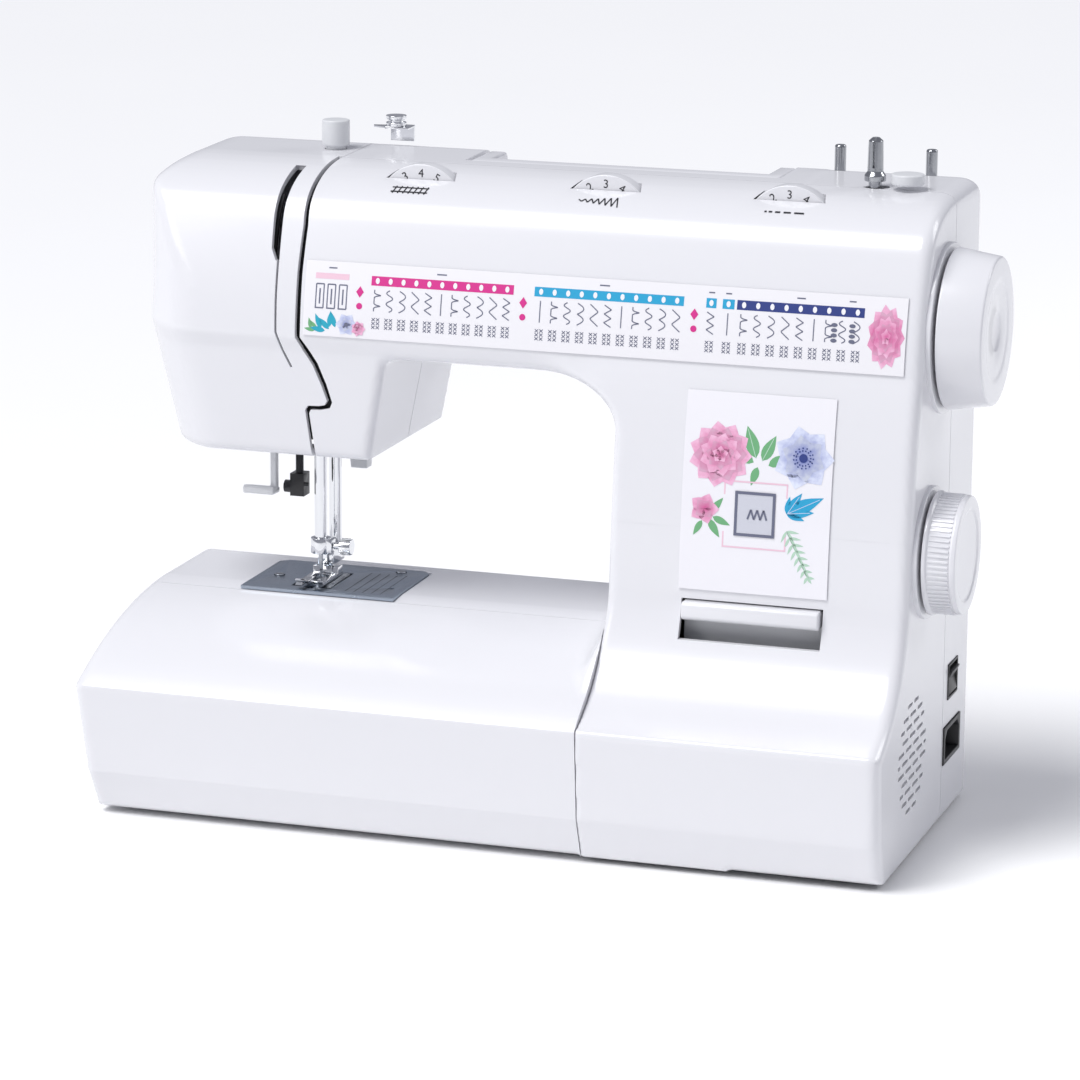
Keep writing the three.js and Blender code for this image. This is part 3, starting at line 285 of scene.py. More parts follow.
slit = [(-119.9, 262), (-119.6, 240), (-119, 225), (-116, 216), (-112, 208)]
take_up = [(-125.1, 296.8), (-119.9, 296.8), (-119.2, 258), (-121, 257.4), (-123.6, 263)]
dial_x = {name: (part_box(name)[0].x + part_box(name)[1].x) * 500 - datum.x * 1000
          for name in ("tension_dial", "width_dial", "length_dial")}
DIAL_RADIUS, DIAL_Z = 21.5, 280.3
WHEEL_AXIS = (17.3, 239)        # y and z
SELECTOR_AXIS = (-6.7, 139)
NEEDLE = (-110.5, 8.0)
PRESSER = (-110.5, 28.0)
cut(housing, [
    block(*handle_well), hollow,
    block(52.5, 188.5, -76, 83.5, -20, 6),
    block(40, 60, -8.5, 52.5, -20, 88),
    merged([rod("y", (x, 0, DIAL_Z), DIAL_RADIUS + 0.9, 7.8, 18.2, 64) for x in dial_x.values()]),
    prism("y", ribbon(slit, 1.1), -60, 0), prism("y", take_up, -60, 17),
    block(NEEDLE[0] - 24, NEEDLE[0] + 11, -4, 36, 150, 172),
    block(NEEDLE[0] - 3, NEEDLE[0] + 34, 45, 57, 150, 172),
    block(109.5, 128, -80, 0, 148.5, 168.5), block(85.5, 152.5, -80, -20, 99, 117.4),
    block(180, 199, 43, 60, 57, 72), block(180, 199, 35, 69, 25, 44),
    merged([rod("z", (125, 77, 0), 3.1, 290, 320), rod("z", (169, 77, 0), 3.1, 290, 320)]),
    rod("z", (-119.7, 55, 0), 5.4, 290, 320),
    prism("z", ribbon([(148.5, 38.2), (150.5, 36.9), (153, 36.4), (156.5, 36.9)], 7.4), 290, 320),
    rod("x", (0, *WHEEL_AXIS), 6, 180, 199), rod("x", (0, *SELECTOR_AXIS), 5, 180, 199),
])

face_edge = [(-111.1, 320), (-110.9, 298), (-110.2, 288.7), (-109.1, 274), (-109.7, 252.6),
             (-109.3, 223), (-105.7, 216.4), (-101.2, 209.4), (-97.2, 199.5), (-94.9, 192.5),
             (-96.2, 190.4), (-99, 189.8), (-104.6, 189.6), (-106.1, 187.5), (-102.2, 150)]
front_edge = [(-108.6, 320), (-108.4, 298), (-107.8, 288.7), (-106.7, 274), (-107.1, 252.6),
              (-106.7, 223), (-103.4, 218), (-98.8, 210.8), (-94.8, 200.7), (-92.3, 192),
              (-93.6, 189), (-98.4, 187.9), (-103.2, 187.7), (-104.1, 186), (-100.1, 150)]
seam_y, gap = 33.5, 0.25
face_knife = [prism("y", [*face_edge, (-260, 150), (-260, 320)], -120, 35),
              block(-260, -108.3, 34.9, 120, 100, 320)]
front_knife = prism("y", [*front_edge, (260, 150), (260, 320)], -120, seam_y - gap)
base_knife = block(0, 260, -120, seam_y - gap, 0, 150.1)
kept_parts = {
    "face_cover": ("face_cover_shell", block(-260, -80, -120, 34.9, 90, 320), face_knife[0]),
    "face_cover_rear": ("face_cover_back", face_knife[1]),
    "front_cover": ("front_cover_shell", front_knife),
    "front_cover_base": ("front_cover_base", base_knife),
    "rear_cover": ("rear_cover_shell", block(-107.9, 260, seam_y + gap, 120, 0, 320)),
}
covers = {name: cut(copy_of(housing, label), knives, "INTERSECT")
          for name, (label, *knives) in kept_parts.items()}
vents = []
for row in range(-5, 6):
    half = (27 ** 2 - (row * 5) ** 2) ** 0.5
    for column in range(-3, 4):
        centre = column * 14 + (7 if row % 2 else 0)
        start, end = max(centre - 5.5, -half), min(centre + 5.5, half)
        if end - start > 3:
            middle = -27 + (start + end) / 2
            reach = (end - start) / 2 - 0.9
            vents.append(prism("x", slot_outline(middle, 48 + row * 5, reach, 0.9), 186, 194))
cut(covers["front_cover_base"], [merged(vents)])
winder_slot = []
for turn in np.radians(range(0, 8, 2)):
    winder_x = 144.5 + 7.5 * cos(turn) + 29.5 * sin(turn)
    winder_y = 66 + 7.5 * sin(turn) - 29.5 * cos(turn)
    winder_slot.append(rod("z", (winder_x, winder_y, 0), 3.8, 280, 310))
for name in ("front_cover", "rear_cover"):
    cut(covers[name], winder_slot)
for tool in (housing, hollow):
    bpy.data.objects.remove(tool)


class Value:
    """A shader socket that does arithmetic with sockets and numbers."""

    def __init__(self, tree, socket):
        self.tree, self.socket = tree, socket

    def _math(self, operation, *others):
        node = self.tree.nodes.new("ShaderNodeMath")
        node.operation = operation
        for slot, other in zip(node.inputs, (self, *others)):
            if isinstance(other, Value):
                self.tree.links.new(other.socket, slot)
            else:
                slot.default_value = other
        return Value(self.tree, node.outputs[0])

    def __add__(self, other):
        return self._math("ADD", other)

    def __sub__(self, other):
        return self._math("SUBTRACT", other)

    def __mul__(self, other):
        return self._math("MULTIPLY", other)

    def __rsub__(self, other):
        return (self * -1.0) + other

    __radd__ = __add__
    __rmul__ = __mul__


class Finish:
    """A principled material with one method that adds any other node."""

    def __init__(self, name, colour, roughness, **values):
        self.material = bpy.data.materials.new(name)
        self.material.use_nodes = True
        self.tree = self.material.node_tree
        self.shader = self.tree.nodes["Principled BSDF"]
        self.shader.inputs["Base Color"].default_value = (*colour, 1)
        self.shader.inputs["Roughness"].default_value = roughness
        for socket, value in values.items():
            self.shader.inputs[socket.replace("_", " ")].default_value = value

    def node(self, kind, inputs, output=0, **settings):
        made = self.tree.nodes.new(kind)
        for key, value in settings.items():
            setattr(made, key, value)
        for key, value in inputs.items():
            if isinstance(value, Value):
                self.tree.links.new(value.socket, made.inputs[key])
            else:
                made.inputs[key].default_value = value
        return Value(self.tree, made.outputs[output])

    def place(self):
        return self.node("ShaderNodeTexCoord", {}, "Object")

    def drive(self, socket, value):
        self.tree.links.new(value.socket, self.shader.inputs[socket])
        return self


def moulded(name, colour, roughness, grain=0.02, **values):
    """Injection-moulded plastic: faint waviness in the gloss and a very fine grain."""
    made = Finish(name, colour, roughness, **values)
    cloud = made.node("ShaderNodeTexNoise", {"Vector": made.place(), "Scale": 14.0, "Detail": 2.0})
    made.drive("Roughness", cloud * 0.08 + (roughness - 0.04))
    fine = made.node("ShaderNodeTexNoise", {"Vector": made.place(), "Scale": 1400.0, "Detail": 1.0})
    made.drive("Normal", made.node("ShaderNodeBump",
                                   {"Height": fine, "Strength": grain, "Distance": 0.0002}))
    return made.material


white = moulded("white_abs", (0.78, 0.78, 0.81), 0.22, Coat_Weight=0.25, Coat_Roughness=0.08)
# Near-black: painted shade on the sheets behind the thread channel and the vent slots, and print on the
# needle plate's guide lines.
shade_and_print_black = moulded("painted_shade_and_print_black", (0.012, 0.012, 0.014), 0.7)


def place_piece(piece, material, body, slot_name, *nodes):
    """Gives a finished piece its material and body, and hides the CAD nodes it stands for; slot_name is
    not used.
    """
    piece.data.materials.clear()
    piece.data.materials.append(material)
    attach(piece, body)
    if nodes:
        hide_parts(*nodes)
    return piece


for name, cover in covers.items():
    stands_for = [name] if name in ("face_cover", "front_cover", "rear_cover") else []
    place_piece(smooth(cover), white, "root", "white_shell", *stands_for)


def front_y(z, head=False):
    """The y of the front surface at a height."""
    line = (head_profile if head else column_profile)[:-1]
    line = line[line[:, 0] < 41]
    return float(np.interp(z, line[:, 1], line[:, 0]))


def skin(x0, x1, z0, z1, near, far, rows=14, head=False):
    """A thin sheet that follows the front between two heights, near to far off its surface."""
    heights = np.linspace(z0, z1, rows)
    inner = [(front_y(z, head) - near, z) for z in heights]
    outer = [(front_y(z, head) - far, z) for z in heights[::-1]]
    return prism("x", inner + outer, x0, x1)


# A black sheet inside the head behind the thread channel and the take-up slot: painted shade, so the
# slits read dark where the real head shows only shade inside.
take_up_low, take_up_high = corners("take_up_lever")
channel_shade = to_object("channel_liner", *merged([skin(x0, x1, 172, 286, -6, -4.5, head=True) for x0, x1 in (
    (-128, take_up_low.x - 0.6), (take_up_high.x + 0.6, -89))]))
place_piece(channel_shade, shade_and_print_black, "root", "black_plastic")


# ---- Bed -----------------------------------------------------------------------------
# The extension table wraps round the front of the free arm and slides off to the left. The
# free arm has a small hinged door on its end for the bobbin.
bed_profile = np.array([
    (-80, -9), (-80, 0), (-88, 20), (-92, 62.5), *bezier((-92, 62.5), (-55, 94.5), (4, 96), steps=24),
    *arc(53, 92, 4, 4, 90, 0, steps=8), (57, -9),
])
bed_outline = np.array([(-191.5, 0), (70, 0), (70, 130), (-188.5, 130), (-190.5, 96), (-197.4, 62.5)])


def bed_field(x, y, z):
    flat_y, flat_z = np.meshgrid(y.ravel(), z.ravel(), indexing="ij")
    profile = outline_distance(bed_profile, flat_y, flat_z)[None]
    flat_x, flat_z = np.meshgrid(x.ravel(), z.ravel(), indexing="ij")
    ends = outline_distance(bed_outline, flat_x, flat_z)[:, None]
    bed_only = rounded(profile, ends, 4.5)
    flat_y, flat_z = np.meshgrid(y.ravel(), z.ravel(), indexing="ij")
    wall = np.maximum(outline_distance(column_profile, flat_y, flat_z)[None], 49.5 - x)
    fade = np.clip((y + 84) / 26, 0, 1)
    fillet_radius = 0.05 + 13 * fade * fade * (3 - 2 * fade)
    near = np.hypot(np.maximum(fillet_radius - bed_only, 0), np.maximum(fillet_radius - wall, 0))
    return np.maximum(fillet_radius, np.minimum(bed_only, wall)) - near


low, high, step = (-203, -98, -5), (60, 63, 118), 1.25
bed = field_object("bed", bed_field(*field_grid(low, high, step)), low, step)
coarse = 3.0
bed_hollow = field_object("bed_hollow", bed_field(*field_grid(low, high, coarse)), low, coarse, -WALL)
table_edge, arm_edge, bed_right = -14.0, -13.7, 49.42
OUT = 260                       # past the machine's ends, for the cutting blocks
arm_hollow = cut(copy_of(bed_hollow, "arm_hollow"), [block(-OUT, 90, arm_edge + WALL, 90, 40.6, 96)],
                 "INTERSECT")
table_hollow = cut(copy_of(bed_hollow, "table_hollow"),
                   [block(-OUT, bed_right - WALL, -120, 90, WALL, 96)], "INTERSECT")
table = cut(copy_of(bed, "extension_table_shell"), [block(-OUT, bed_right, -120, table_edge, 0, 120)],
            "INTERSECT")
cut(table, [table_hollow])
place_piece(smooth(table), white, "extension_table", "white_shell", "extension_table")

free_arm = cut(copy_of(bed, "free_arm_shell"), [block(-OUT, bed_right, arm_edge, 90, 38, 120)],
               "INTERSECT")
plate_low, plate_high = corners("needle_plate")
door = (-OUT, -184, -7.6, 50, 46, 88)
cut(free_arm, [
    arm_hollow,
    block(plate_low.x - 0.4, plate_high.x + 0.4, -30, plate_high.y + 0.4, plate_low.z - 0.4, 120),
    block(plate_low.x + 5, plate_high.x - 5, -8, plate_high.y - 6, 90, 120),
])
shuttle_door = cut(copy_of(free_arm, "shuttle_door_leaf"),
                   [block(-OUT, -184, -7.2, 49.6, 46.4, 87.6)], "INTERSECT")
cut(free_arm, [block(*door), rod("y", (-195, 0, 46.4), 2.7, -7.6, 50)])
place_piece(smooth(free_arm), white, "root", "white_shell", "free_arm_cover")
place_piece(smooth(shuttle_door), white, "shuttle_door", "white_shell", "shuttle_cover")
for tool in (bed, bed_hollow, arm_hollow, table_hollow):
    bpy.data.objects.remove(tool)


# ---- Turned pieces -------------------------------------------------------------------
# The handwheel and the pattern selector are moulded white discs on the right end; the wheel
# is smooth and tapers outwards, the selector's rim is finely ribbed.
def fillet(corner, before, after, radius, steps=6):
    """Points rounding a corner of a (radius, distance) profile."""
    corner, before, after = (np.array(point, float) for point in (corner, before, after))
    start = corner + (before - corner) / np.linalg.norm(before - corner) * radius
    end = corner + (after - corner) / np.linalg.norm(after - corner) * radius
    return [*map(tuple, bezier(start, corner, end, steps=steps)), tuple(end)]


def softened(profile, radius):
    """A profile with every inner corner rounded."""
    made = [profile[0]]
    for before, corner, after in zip(profile, profile[1:], profile[2:]):
        made += fillet(corner, before, after, radius)
    return [*made, profile[-1]]


def turned_piece(name, axis, centre, profile, edge, finish, body, slot_name, *nodes, count=48):
    """A turned solid with softened corners, placed as a finished piece."""
    piece = to_object(name, *spun(axis, centre, softened(profile, edge), count))
    return place_piece(smooth(piece), finish, body, slot_name, *nodes)


wheel_low, wheel_high = corners("handwheel")
wheel_centre = (wheel_low.x, (wheel_low.y + wheel_high.y) / 2, (wheel_low.z + wheel_high.z) / 2)
wheel_rim = softened([(30, 0), (37.4, 0), (34.2, 20.8), (24, 20.8), (21.5, 20.2), (10, 20.2)], 1.2)
wheel_dish = [(9.5 * cos(t), 20.2 - 1.6 * sin(t)) for t in np.linspace(0, pi / 2, 7)[1:-1]]
wheel_profile = [(0, 0), *wheel_rim, *wheel_dish, (0, 18.6)]
wheel = to_object("handwheel_disc", *spun("x", wheel_centre, wheel_profile, 96))
place_piece(smooth(wheel, 40), white, "handwheel", "white_shell", "handwheel")

dial_low, dial_high = corners("pattern_selector_dial")
dial_centre = (dial_low.x, (dial_low.y + dial_high.y) / 2, (dial_low.z + dial_high.z) / 2)
dial_profile = [(0, 0), *softened([(20, 0), (28.7, 0), (28.7, 1.6), (27.5, 2.4), (27, 12.4), (27.6, 13.2),
                                   (27.2, 15.3), (22, 15.3), (20.5, 14.6), (5, 14.6)], 0.5), (0, 14.6)]
selector = to_object("selector_disc", *spun("x", dial_centre, dial_profile, 96))
place_piece(smooth(selector, 40), white, "pattern_selector", "white_shell", "pattern_selector_dial")


def ring_of(name, template, count, centre, radius, axis, material):
    """Copies of a template spaced round an axis, made with geometry nodes, as a plain mesh."""
    tree = bpy.data.node_groups.new(name, "GeometryNodeTree")
    tree.interface.new_socket("Geometry", in_out="OUTPUT", socket_type="NodeSocketGeometry")
    sockets = {}
    for label, kind, value in (("Count", "NodeSocketInt", count), ("Radius", "NodeSocketFloat", radius)):
        made = tree.interface.new_socket(label, in_out="INPUT", socket_type=kind)
        sockets[made.identifier] = value
    add = tree.nodes.new
    source, out = add("NodeGroupInput"), add("NodeGroupOutput")
    circle, place = add("GeometryNodeMeshCircle"), add("GeometryNodeInstanceOnPoints")
    real = add("GeometryNodeRealizeInstances")
    thing, paint = add("GeometryNodeObjectInfo"), add("GeometryNodeSetMaterial")
    position, turn = add("GeometryNodeInputPosition"), add("FunctionNodeAlignRotationToVector")
    turn.axis = "X"
    turn.pivot_axis = "Z"
    thing.inputs["Object"].default_value = template
    paint.inputs["Material"].default_value = material
    for a, b in (
        (source.outputs["Count"], circle.inputs["Vertices"]),
        (source.outputs["Radius"], circle.inputs["Radius"]),
        (circle.outputs[0], place.inputs["Points"]),
        (thing.outputs["Geometry"], place.inputs["Instance"]),
        (position.outputs[0], turn.inputs["Vector"]),
        (turn.outputs[0], place.inputs["Rotation"]),
        (place.outputs[0], real.inputs[0]),
        (real.outputs[0], paint.inputs[0]),
        (paint.outputs[0], out.inputs[0]),
    ):
        tree.links.new(a, b)
    holder = bpy.data.objects.new(name, bpy.data.meshes.new(name))
    bpy.context.collection.objects.link(holder)
    modifier = holder.modifiers.new("copies", "NODES")
    modifier.node_group = tree
    for identifier, value in sockets.items():
        modifier[identifier] = value
    graph = bpy.context.evaluated_depsgraph_get()
    result = bpy.data.meshes.new_from_object(holder.evaluated_get(graph))
    holder.modifiers.remove(modifier)
    holder.data = result
    turn_to = turned_to[axis].to_4x4()
    result.transform(Matrix.Translation(datum + Vector(centre) * 0.001) @ turn_to)
    bpy.data.objects.remove(template)
    return holder


def loose_object(name, points, faces):
    """A template in metres about the world's origin."""
    made = to_object(name, points, faces)
    made.data.transform(Matrix.Translation(-datum))
    return made


rib = loose_object("rib", *prism("z", [(-0.9, -0.75), (0.35, -0.35), (0.35, 0.35), (-0.9, 0.75)], 2.6,
                                 12.2))
ribs = ring_of("selector_ribs", rib, 72, dial_centre, 0.0275, "x", white)
place_piece(ribs, white, "pattern_selector", "white_shell")
for label, axis, radius, bore in (("wheel", WHEEL_AXIS, 39.4, 6), ("selector", SELECTOR_AXIS, 30.7, 5)):
    pad_profile = softened([(0, 0), (radius, 0), (radius, 3), (0, 3)], 0.6)
    pad = to_object(f"{label}_pad", *spun("x", (190.5, *axis), pad_profile, 96))
    cut(pad, [rod("x", (0, *axis), bore, 180, 199)])
    place_piece(smooth(pad), white, "root", "white_shell")


# ---- Top dials -----------------------------------------------------------------------
# Three white discs stand edge-on out of slots in the shoulder, with black figures on the
# face that looks to the operator.
ink = moulded("black_ink", (0.015, 0.015, 0.02), 0.4)


def figures(text, size):
    """A figure's flat mesh in metres, centred on its own middle, standing in x and y."""
    curve = bpy.data.curves.new("figure", "FONT")
    curve.body, curve.size, curve.extrude = text, size, 0.00004
    curve.align_x, curve.align_y = "CENTER", "CENTER"
    holder = bpy.data.objects.new("figure", curve)
    bpy.context.collection.objects.link(holder)
    graph = bpy.context.evaluated_depsgraph_get()
    mesh = bpy.data.meshes.new_from_object(holder.evaluated_get(graph))
    bpy.data.objects.remove(holder)
    return mesh


def dial_figures(name, x, labels, step_angle, face):
    """Figures round a dial's face, the middle one at the top."""
    made = bmesh.new()
    for index, label in enumerate(labels):
        angle = (index - (len(labels) - 1) / 2) * step_angle
        mesh = figures(label, 0.0056)
        radius = 0.0172
        centre = datum + Vector((x, face, DIAL_Z)) * 0.001
        spot = centre + Vector((sin(angle) * radius, 0, cos(angle) * radius))
        mesh.transform(Matrix.Translation(spot) @ Matrix.Rotation(angle, 4, "Y")
                       @ Matrix.Rotation(pi / 2, 4, "X"))
        made.from_mesh(mesh)
        bpy.data.meshes.remove(mesh)
    mesh = bpy.data.meshes.new(name)
    made.to_mesh(mesh)
    made.free()
    piece = bpy.data.objects.new(name, mesh)
    bpy.context.collection.objects.link(piece)
    return piece


dial_labels = {"tension_dial": "2 3 4 5 6".split(), "width_dial": "1 2 3 4 5".split(),
               "length_dial": "1 2 3 4 0".split()}
for name, x in dial_x.items():
    face = [(0, 0), *softened([(16, 0), (DIAL_RADIUS, 0), (DIAL_RADIUS, 9), (4, 9)], 0.7), (0, 9)]
    turned = to_object(f"{name}_disc", *spun("y", (x, 8.5, DIAL_Z), face, 96))
    place_piece(smooth(turned, 40), white, name, "white_shell", name)
    place_piece(dial_figures(f"{name}_figures", x, dial_labels[name], radians(27), 8.44), ink, name,
                "black_plastic")


# ---- Printed labels ------------------------------------------------------------------
# A printed film runs along the arm with stitch symbols and flowers, and a second one covers
# the column's front with a floral picture round the pattern window.
def film(name, colour):
    return moulded(name, colour, 0.3, Coat_Weight=0.4, Coat_Roughness=0.05)


def decal(name, outlines, material, lift):
    """Flat printed shapes given as (x, z) outlines, laid on the front surface."""
    solids = [bridged(*([(x, front_y(z) - height, z) for x, z in outline]
                        for height in (lift, lift + 0.05)))
              for outline in map(leftward, outlines)]
    return place_piece(to_object(name, *merged(solids)), material, "root", "printed_label")


def disc(x, z, rx, rz=None, count=16, start=0.0):
    rz = rx if rz is None else rz
    return [(x + rx * cos(start + 2 * pi * i / count), z + rz * sin(start + 2 * pi * i / count))
            for i in range(count)]


def petal(x, z, angle, length, width, count=8):
    """A drop-shaped petal that leaves (x, z) at an angle."""
    side = [(length * t, width / 2 * sin(pi * t ** 0.75)) for t in np.linspace(0, 1, count)]
    loop = side + [(u, -v) for u, v in side[-2:0:-1]]
    return [(x + u * cos(angle) - v * sin(angle), z + u * sin(angle) + v * cos(angle)) for u, v in loop]


def bloom(x, z, size, count, turn=0.0, width=0.75):
    return [petal(x, z, turn + 2 * pi * i / count, size, size * width) for i in range(count)]


def stroke(path, width=0.5):
    """Short straight stripes joining the points of a path."""
    return [[tuple(point) for point in ribbon([a, b], width)] for a, b in zip(path, path[1:])]


def bar(x0, x1, z0, z1):
    return [(x0, z0), (x1, z0), (x1, z1), (x0, z1)]


STRIP = (-105.0, 183.5, 224.6, 259.0)
strip = to_object("stitch_chart_film", *skin(*STRIP, 0.25, 0.8))
place_piece(smooth(strip), film("chart_film", (0.86, 0.85, 0.88)), "root", "printed_label",
            "stitch_chart")
inks = {
    "magenta": (0.66, 0.03, 0.26),
    "cyan": (0.02, 0.36, 0.62),
    "navy": (0.03, 0.05, 0.22),
    "blush": (0.83, 0.56, 0.67),
    "leaf": (0.16, 0.42, 0.20),
    "mint": (0.46, 0.66, 0.52),
    "sky": (0.50, 0.62, 0.82),
    "teal": (0.02, 0.38, 0.52),
    "mist": (0.60, 0.61, 0.68),
    "slate": (0.14, 0.15, 0.22),
    "paper": (0.86, 0.86, 0.90),
}
colours = {name: moulded(f"print_{name}", colour, 0.38) for name, colour in inks.items()}
bars = {"magenta": (-72.3, -2.6), "cyan": (7.5, 79.1), "navy": (104.2, 163.8)}
for name, (x0, x1) in bars.items():
    decal(f"chart_bar_{name}", [bar(x0, x1, 249.3, 253.6)], colours[name], 0.82)
decal("chart_bar_small", [bar(89.7, 94.5, 249.3, 253.6), bar(97.4, 103.0, 249.3, 253.6)], colours["cyan"],
      0.82)
decal("chart_bar_pink", [bar(-100, -83.4, 251, 253.6)], colours["blush"], 0.82)
columns = {"magenta": np.linspace(-69.2, -5.7, 11), "cyan": np.linspace(10.7, 75.9, 11),
           "navy": [92.1, 100.2, *np.linspace(107.5, 160.6, 9)]}
every_column = [x for places in columns.values() for x in places]
decal("chart_bar_dots", [disc(x, 251.5, 1.0, 1.4, 12) for x in every_column], colours["paper"], 0.90)
dashes = ((-91.7, 2), (41, 2.4), (92, 1.4), (100, 1.4), (134, 2), (158, 1.6), (-38, 2.4))
decal("chart_range_dashes", [bar(x - w, x + w, 255.8, 256.4) for x, w in dashes], colours["slate"], 0.82)
decal("chart_row_signs", [shape for x in (-77.6, 2.4, 84.4) for shape in (
      disc(x, 246, 1.9, 2.6, 4), disc(x, 239.5, 1.5, 1.5, 16))], colours["magenta"], 0.84)

wave = {
    "straight": lambda t: 0.0,
    "zigzag": lambda t: 3.4 * (abs((t * 2.5) % 1 - 0.5) * 2 - 0.5),
    "wide": lambda t: 4.0 * (abs((t * 1.5) % 1 - 0.5) * 2 - 0.5),
    "scallop": lambda t: 3.0 * abs(sin(pi * 2 * t)) - 1.5,
    "wave": lambda t: 1.6 * sin(2 * pi * 2 * t),
    "blind": lambda t: 3.2 * max(0.0, 1 - 7 * abs((2 * t) % 1 - 0.5)) - 1.2,
}
names = list(wave)


def stitch_row(low_z, high_z, order, width, count):
    made = []
    for index, centre in enumerate(every_column):
        kind = wave[names[(index * order + order) % len(names)]]
        path = [(centre + kind(t), low_z + (high_z - low_z) * t) for t in np.linspace(0, 1, count)]
        made += stroke(path, width)
    return made


def hatch(x, z):
    """Two short rows of crossed stitches."""
    return [s for dx in (-1.1, 1.1) for dz in (-1.8, 0, 1.8)
            for s in stroke([(x + dx - 0.8, z + dz - 0.7), (x + dx + 0.8, z + dz + 0.7)], 0.35)
            + stroke([(x + dx - 0.8, z + dz + 0.7), (x + dx + 0.8, z + dz - 0.7)], 0.35)]


decal("chart_stitches", stitch_row(237.6, 247.4, 5, 0.48, 21), colours["slate"], 0.84)
decal("chart_hatches", [s for x in every_column for s in hatch(x, 232)], colours["slate"], 0.84)
heavy = [disc(x, z, 1.5, 0.9, 10, 0.4) for x in (150.2, 158.6) for z in (238.5, 240.8, 243.1, 245.4)]
decal("chart_heavy_stitches", heavy, colours["slate"], 0.88)
buttonholes = []
for x in (-97.4, -91.7, -86):
    hole = [(x - 1.9, 237.6), (x + 1.9, 237.6), (x + 1.9, 248.6), (x - 1.9, 248.6), (x - 1.9, 237.3)]
    buttonholes += stroke(hole, 0.6) + stroke([(x, 239.5), (x, 246.5)], 0.7)
decal("chart_buttonholes", buttonholes, colours["slate"], 0.84)


def petal_print(name, x, z, radius, inner, outer):
    """Ink that runs from one colour at a flower's heart to another at its rim."""
    made = Finish(name, outer, 0.38)
    heart = datum + Vector((x, front_y(z), z)) * 0.001
    away = made.node("ShaderNodeVectorMath", {0: made.place(), 1: heart}, 1, operation="DISTANCE")
    mottle = made.node("ShaderNodeTexNoise", {"Vector": made.place(), "Scale": 420.0, "Detail": 3.0})
    share = away * (1000 / radius) + (mottle - 0.5) * 0.9
    made.drive("Base Color", made.node("ShaderNodeMix", {0: share, 6: (*inner, 1), 7: (*outer, 1)}, 2,
                                       data_type="RGBA"))
    return made.material


def flower(name, x, z, radius, inner, outer, rings, lift, squeeze=1.0):
    """Rings of overlapping petals, each ring smaller, paler or darker than the one below."""
    for index, (share, count) in enumerate(rings):
        tone = 1.0 - 0.22 * (index % 2)
        ink_of = petal_print(f"{name}_ink_{index}", x, z, radius * share, inner,
                             tuple(c * tone for c in outer))
        shapes = bloom(0, 0, radius * share, count, index * 0.7, 0.95)
        shapes = [[(x + u * squeeze, z + v) for u, v in shape] for shape in shapes]
        decal(f"{name}_ring_{index}", shapes, ink_of, lift + 0.05 * index)


PEONY = [(1.0, 11), (0.84, 10), (0.66, 9), (0.46, 7), (0.26, 5)]
pinks = ((0.62, 0.05, 0.26), (0.86, 0.50, 0.68))
blues = ((0.16, 0.20, 0.52), (0.74, 0.78, 0.92))
flower("strip_end_peony", 174.3, 241.5, 14.5, *pinks, PEONY, 0.84, 0.60)
flower("strip_small_bloom", -83.5, 230.6, 5.4, *blues, [(1.0, 6), (0.6, 5)], 0.86)
flower("strip_small_rose", -77.5, 229.0, 3.6, *pinks, [(1.0, 7), (0.6, 5)], 0.96)
leaves = ((-92, 228, 2.4), (-92, 229, 1.5), (-94, 227.2, 3.0), (-89, 229, 1.9), (-96, 228, 2.0))
pale_leaves = ((-98, 227.5, 2.3), (-101, 227.5, 1.8), (-99, 227, 3.0))
decal("strip_leaves", [petal(*leaf, 7.5, 2.6) for leaf in leaves], colours["teal"], 0.82)
decal("strip_leaves_pale", [petal(*leaf, 5.5, 1.8) for leaf in pale_leaves], colours["leaf"], 0.81)
decal("strip_heart", [disc(-83.5, 230.6, 1.0, count=10)], colours["slate"], 1.02)

window_x, window_z = (109.5, 128.0), (148.5, 168.5)
PANEL = (84.0, 154.0, 122.0, 212.5)
panel = to_object("decor_panel_film", *skin(*PANEL, 0.25, 0.8, rows=24))
cut(panel, [block(*window_x, -80, 0, *window_z)])
place_piece(smooth(panel), film("panel_film", (0.86, 0.85, 0.89)), "root", "printed_label", "decor_panel")
leaves = ((118, 184, 1.9, 15), (121, 183, 1.1, 13), (117, 182, 2.7, 11), (124, 181, 0.5, 11),
          (119, 180, 4.4, 9))
decal("panel_leaves", [petal(*leaf, leaf[-1] * 0.42) for leaf in leaves], colours["leaf"], 0.82)
veins = stroke([(118, 184), (113.5, 197)], 0.35) + stroke([(121, 183), (126, 193.5)], 0.35)
decal("panel_leaf_veins", veins, colours["mint"], 0.9)
lobes = ((0.45, 19), (0.95, 12), (0.1, 13), (-0.3, 9), (1.4, 8))
decal("panel_blue_leaf", [petal(133.5, 160, a, r, r * 0.34) for a, r in lobes], colours["cyan"], 0.86)
veins = [s for a, r in ((0.45, 17), (0.95, 10), (0.1, 11))
         for s in stroke([(134, 160), (133.5 + r * cos(a), 160 + r * sin(a))], 0.3)]
decal("panel_blue_leaf_veins", veins, colours["sky"], 0.92)
leaves = ((97, 155, 5.3, 10), (94, 154, 4.2, 8), (98, 158, 0.9, 9), (99, 156, 5.9, 9))
decal("panel_bud_leaves", [petal(*leaf, leaf[-1] * 0.36) for leaf in leaves], colours["leaf"], 0.84)
sprig = [(134 + 1.5 * i, 152 - 2.9 * i) for i in range(8)]
decal("panel_sprig", [petal(x, z, a, 6.0 - 0.35 * i, 1.3) for i, (x, z) in enumerate(sprig)
                      for a in (-0.1, -2.0, -0.9)]
      + stroke(sprig, 0.35), colours["mint"], 0.82)
flower("panel_peony", 101.2, 184.5, 15, *pinks, PEONY, 0.88)
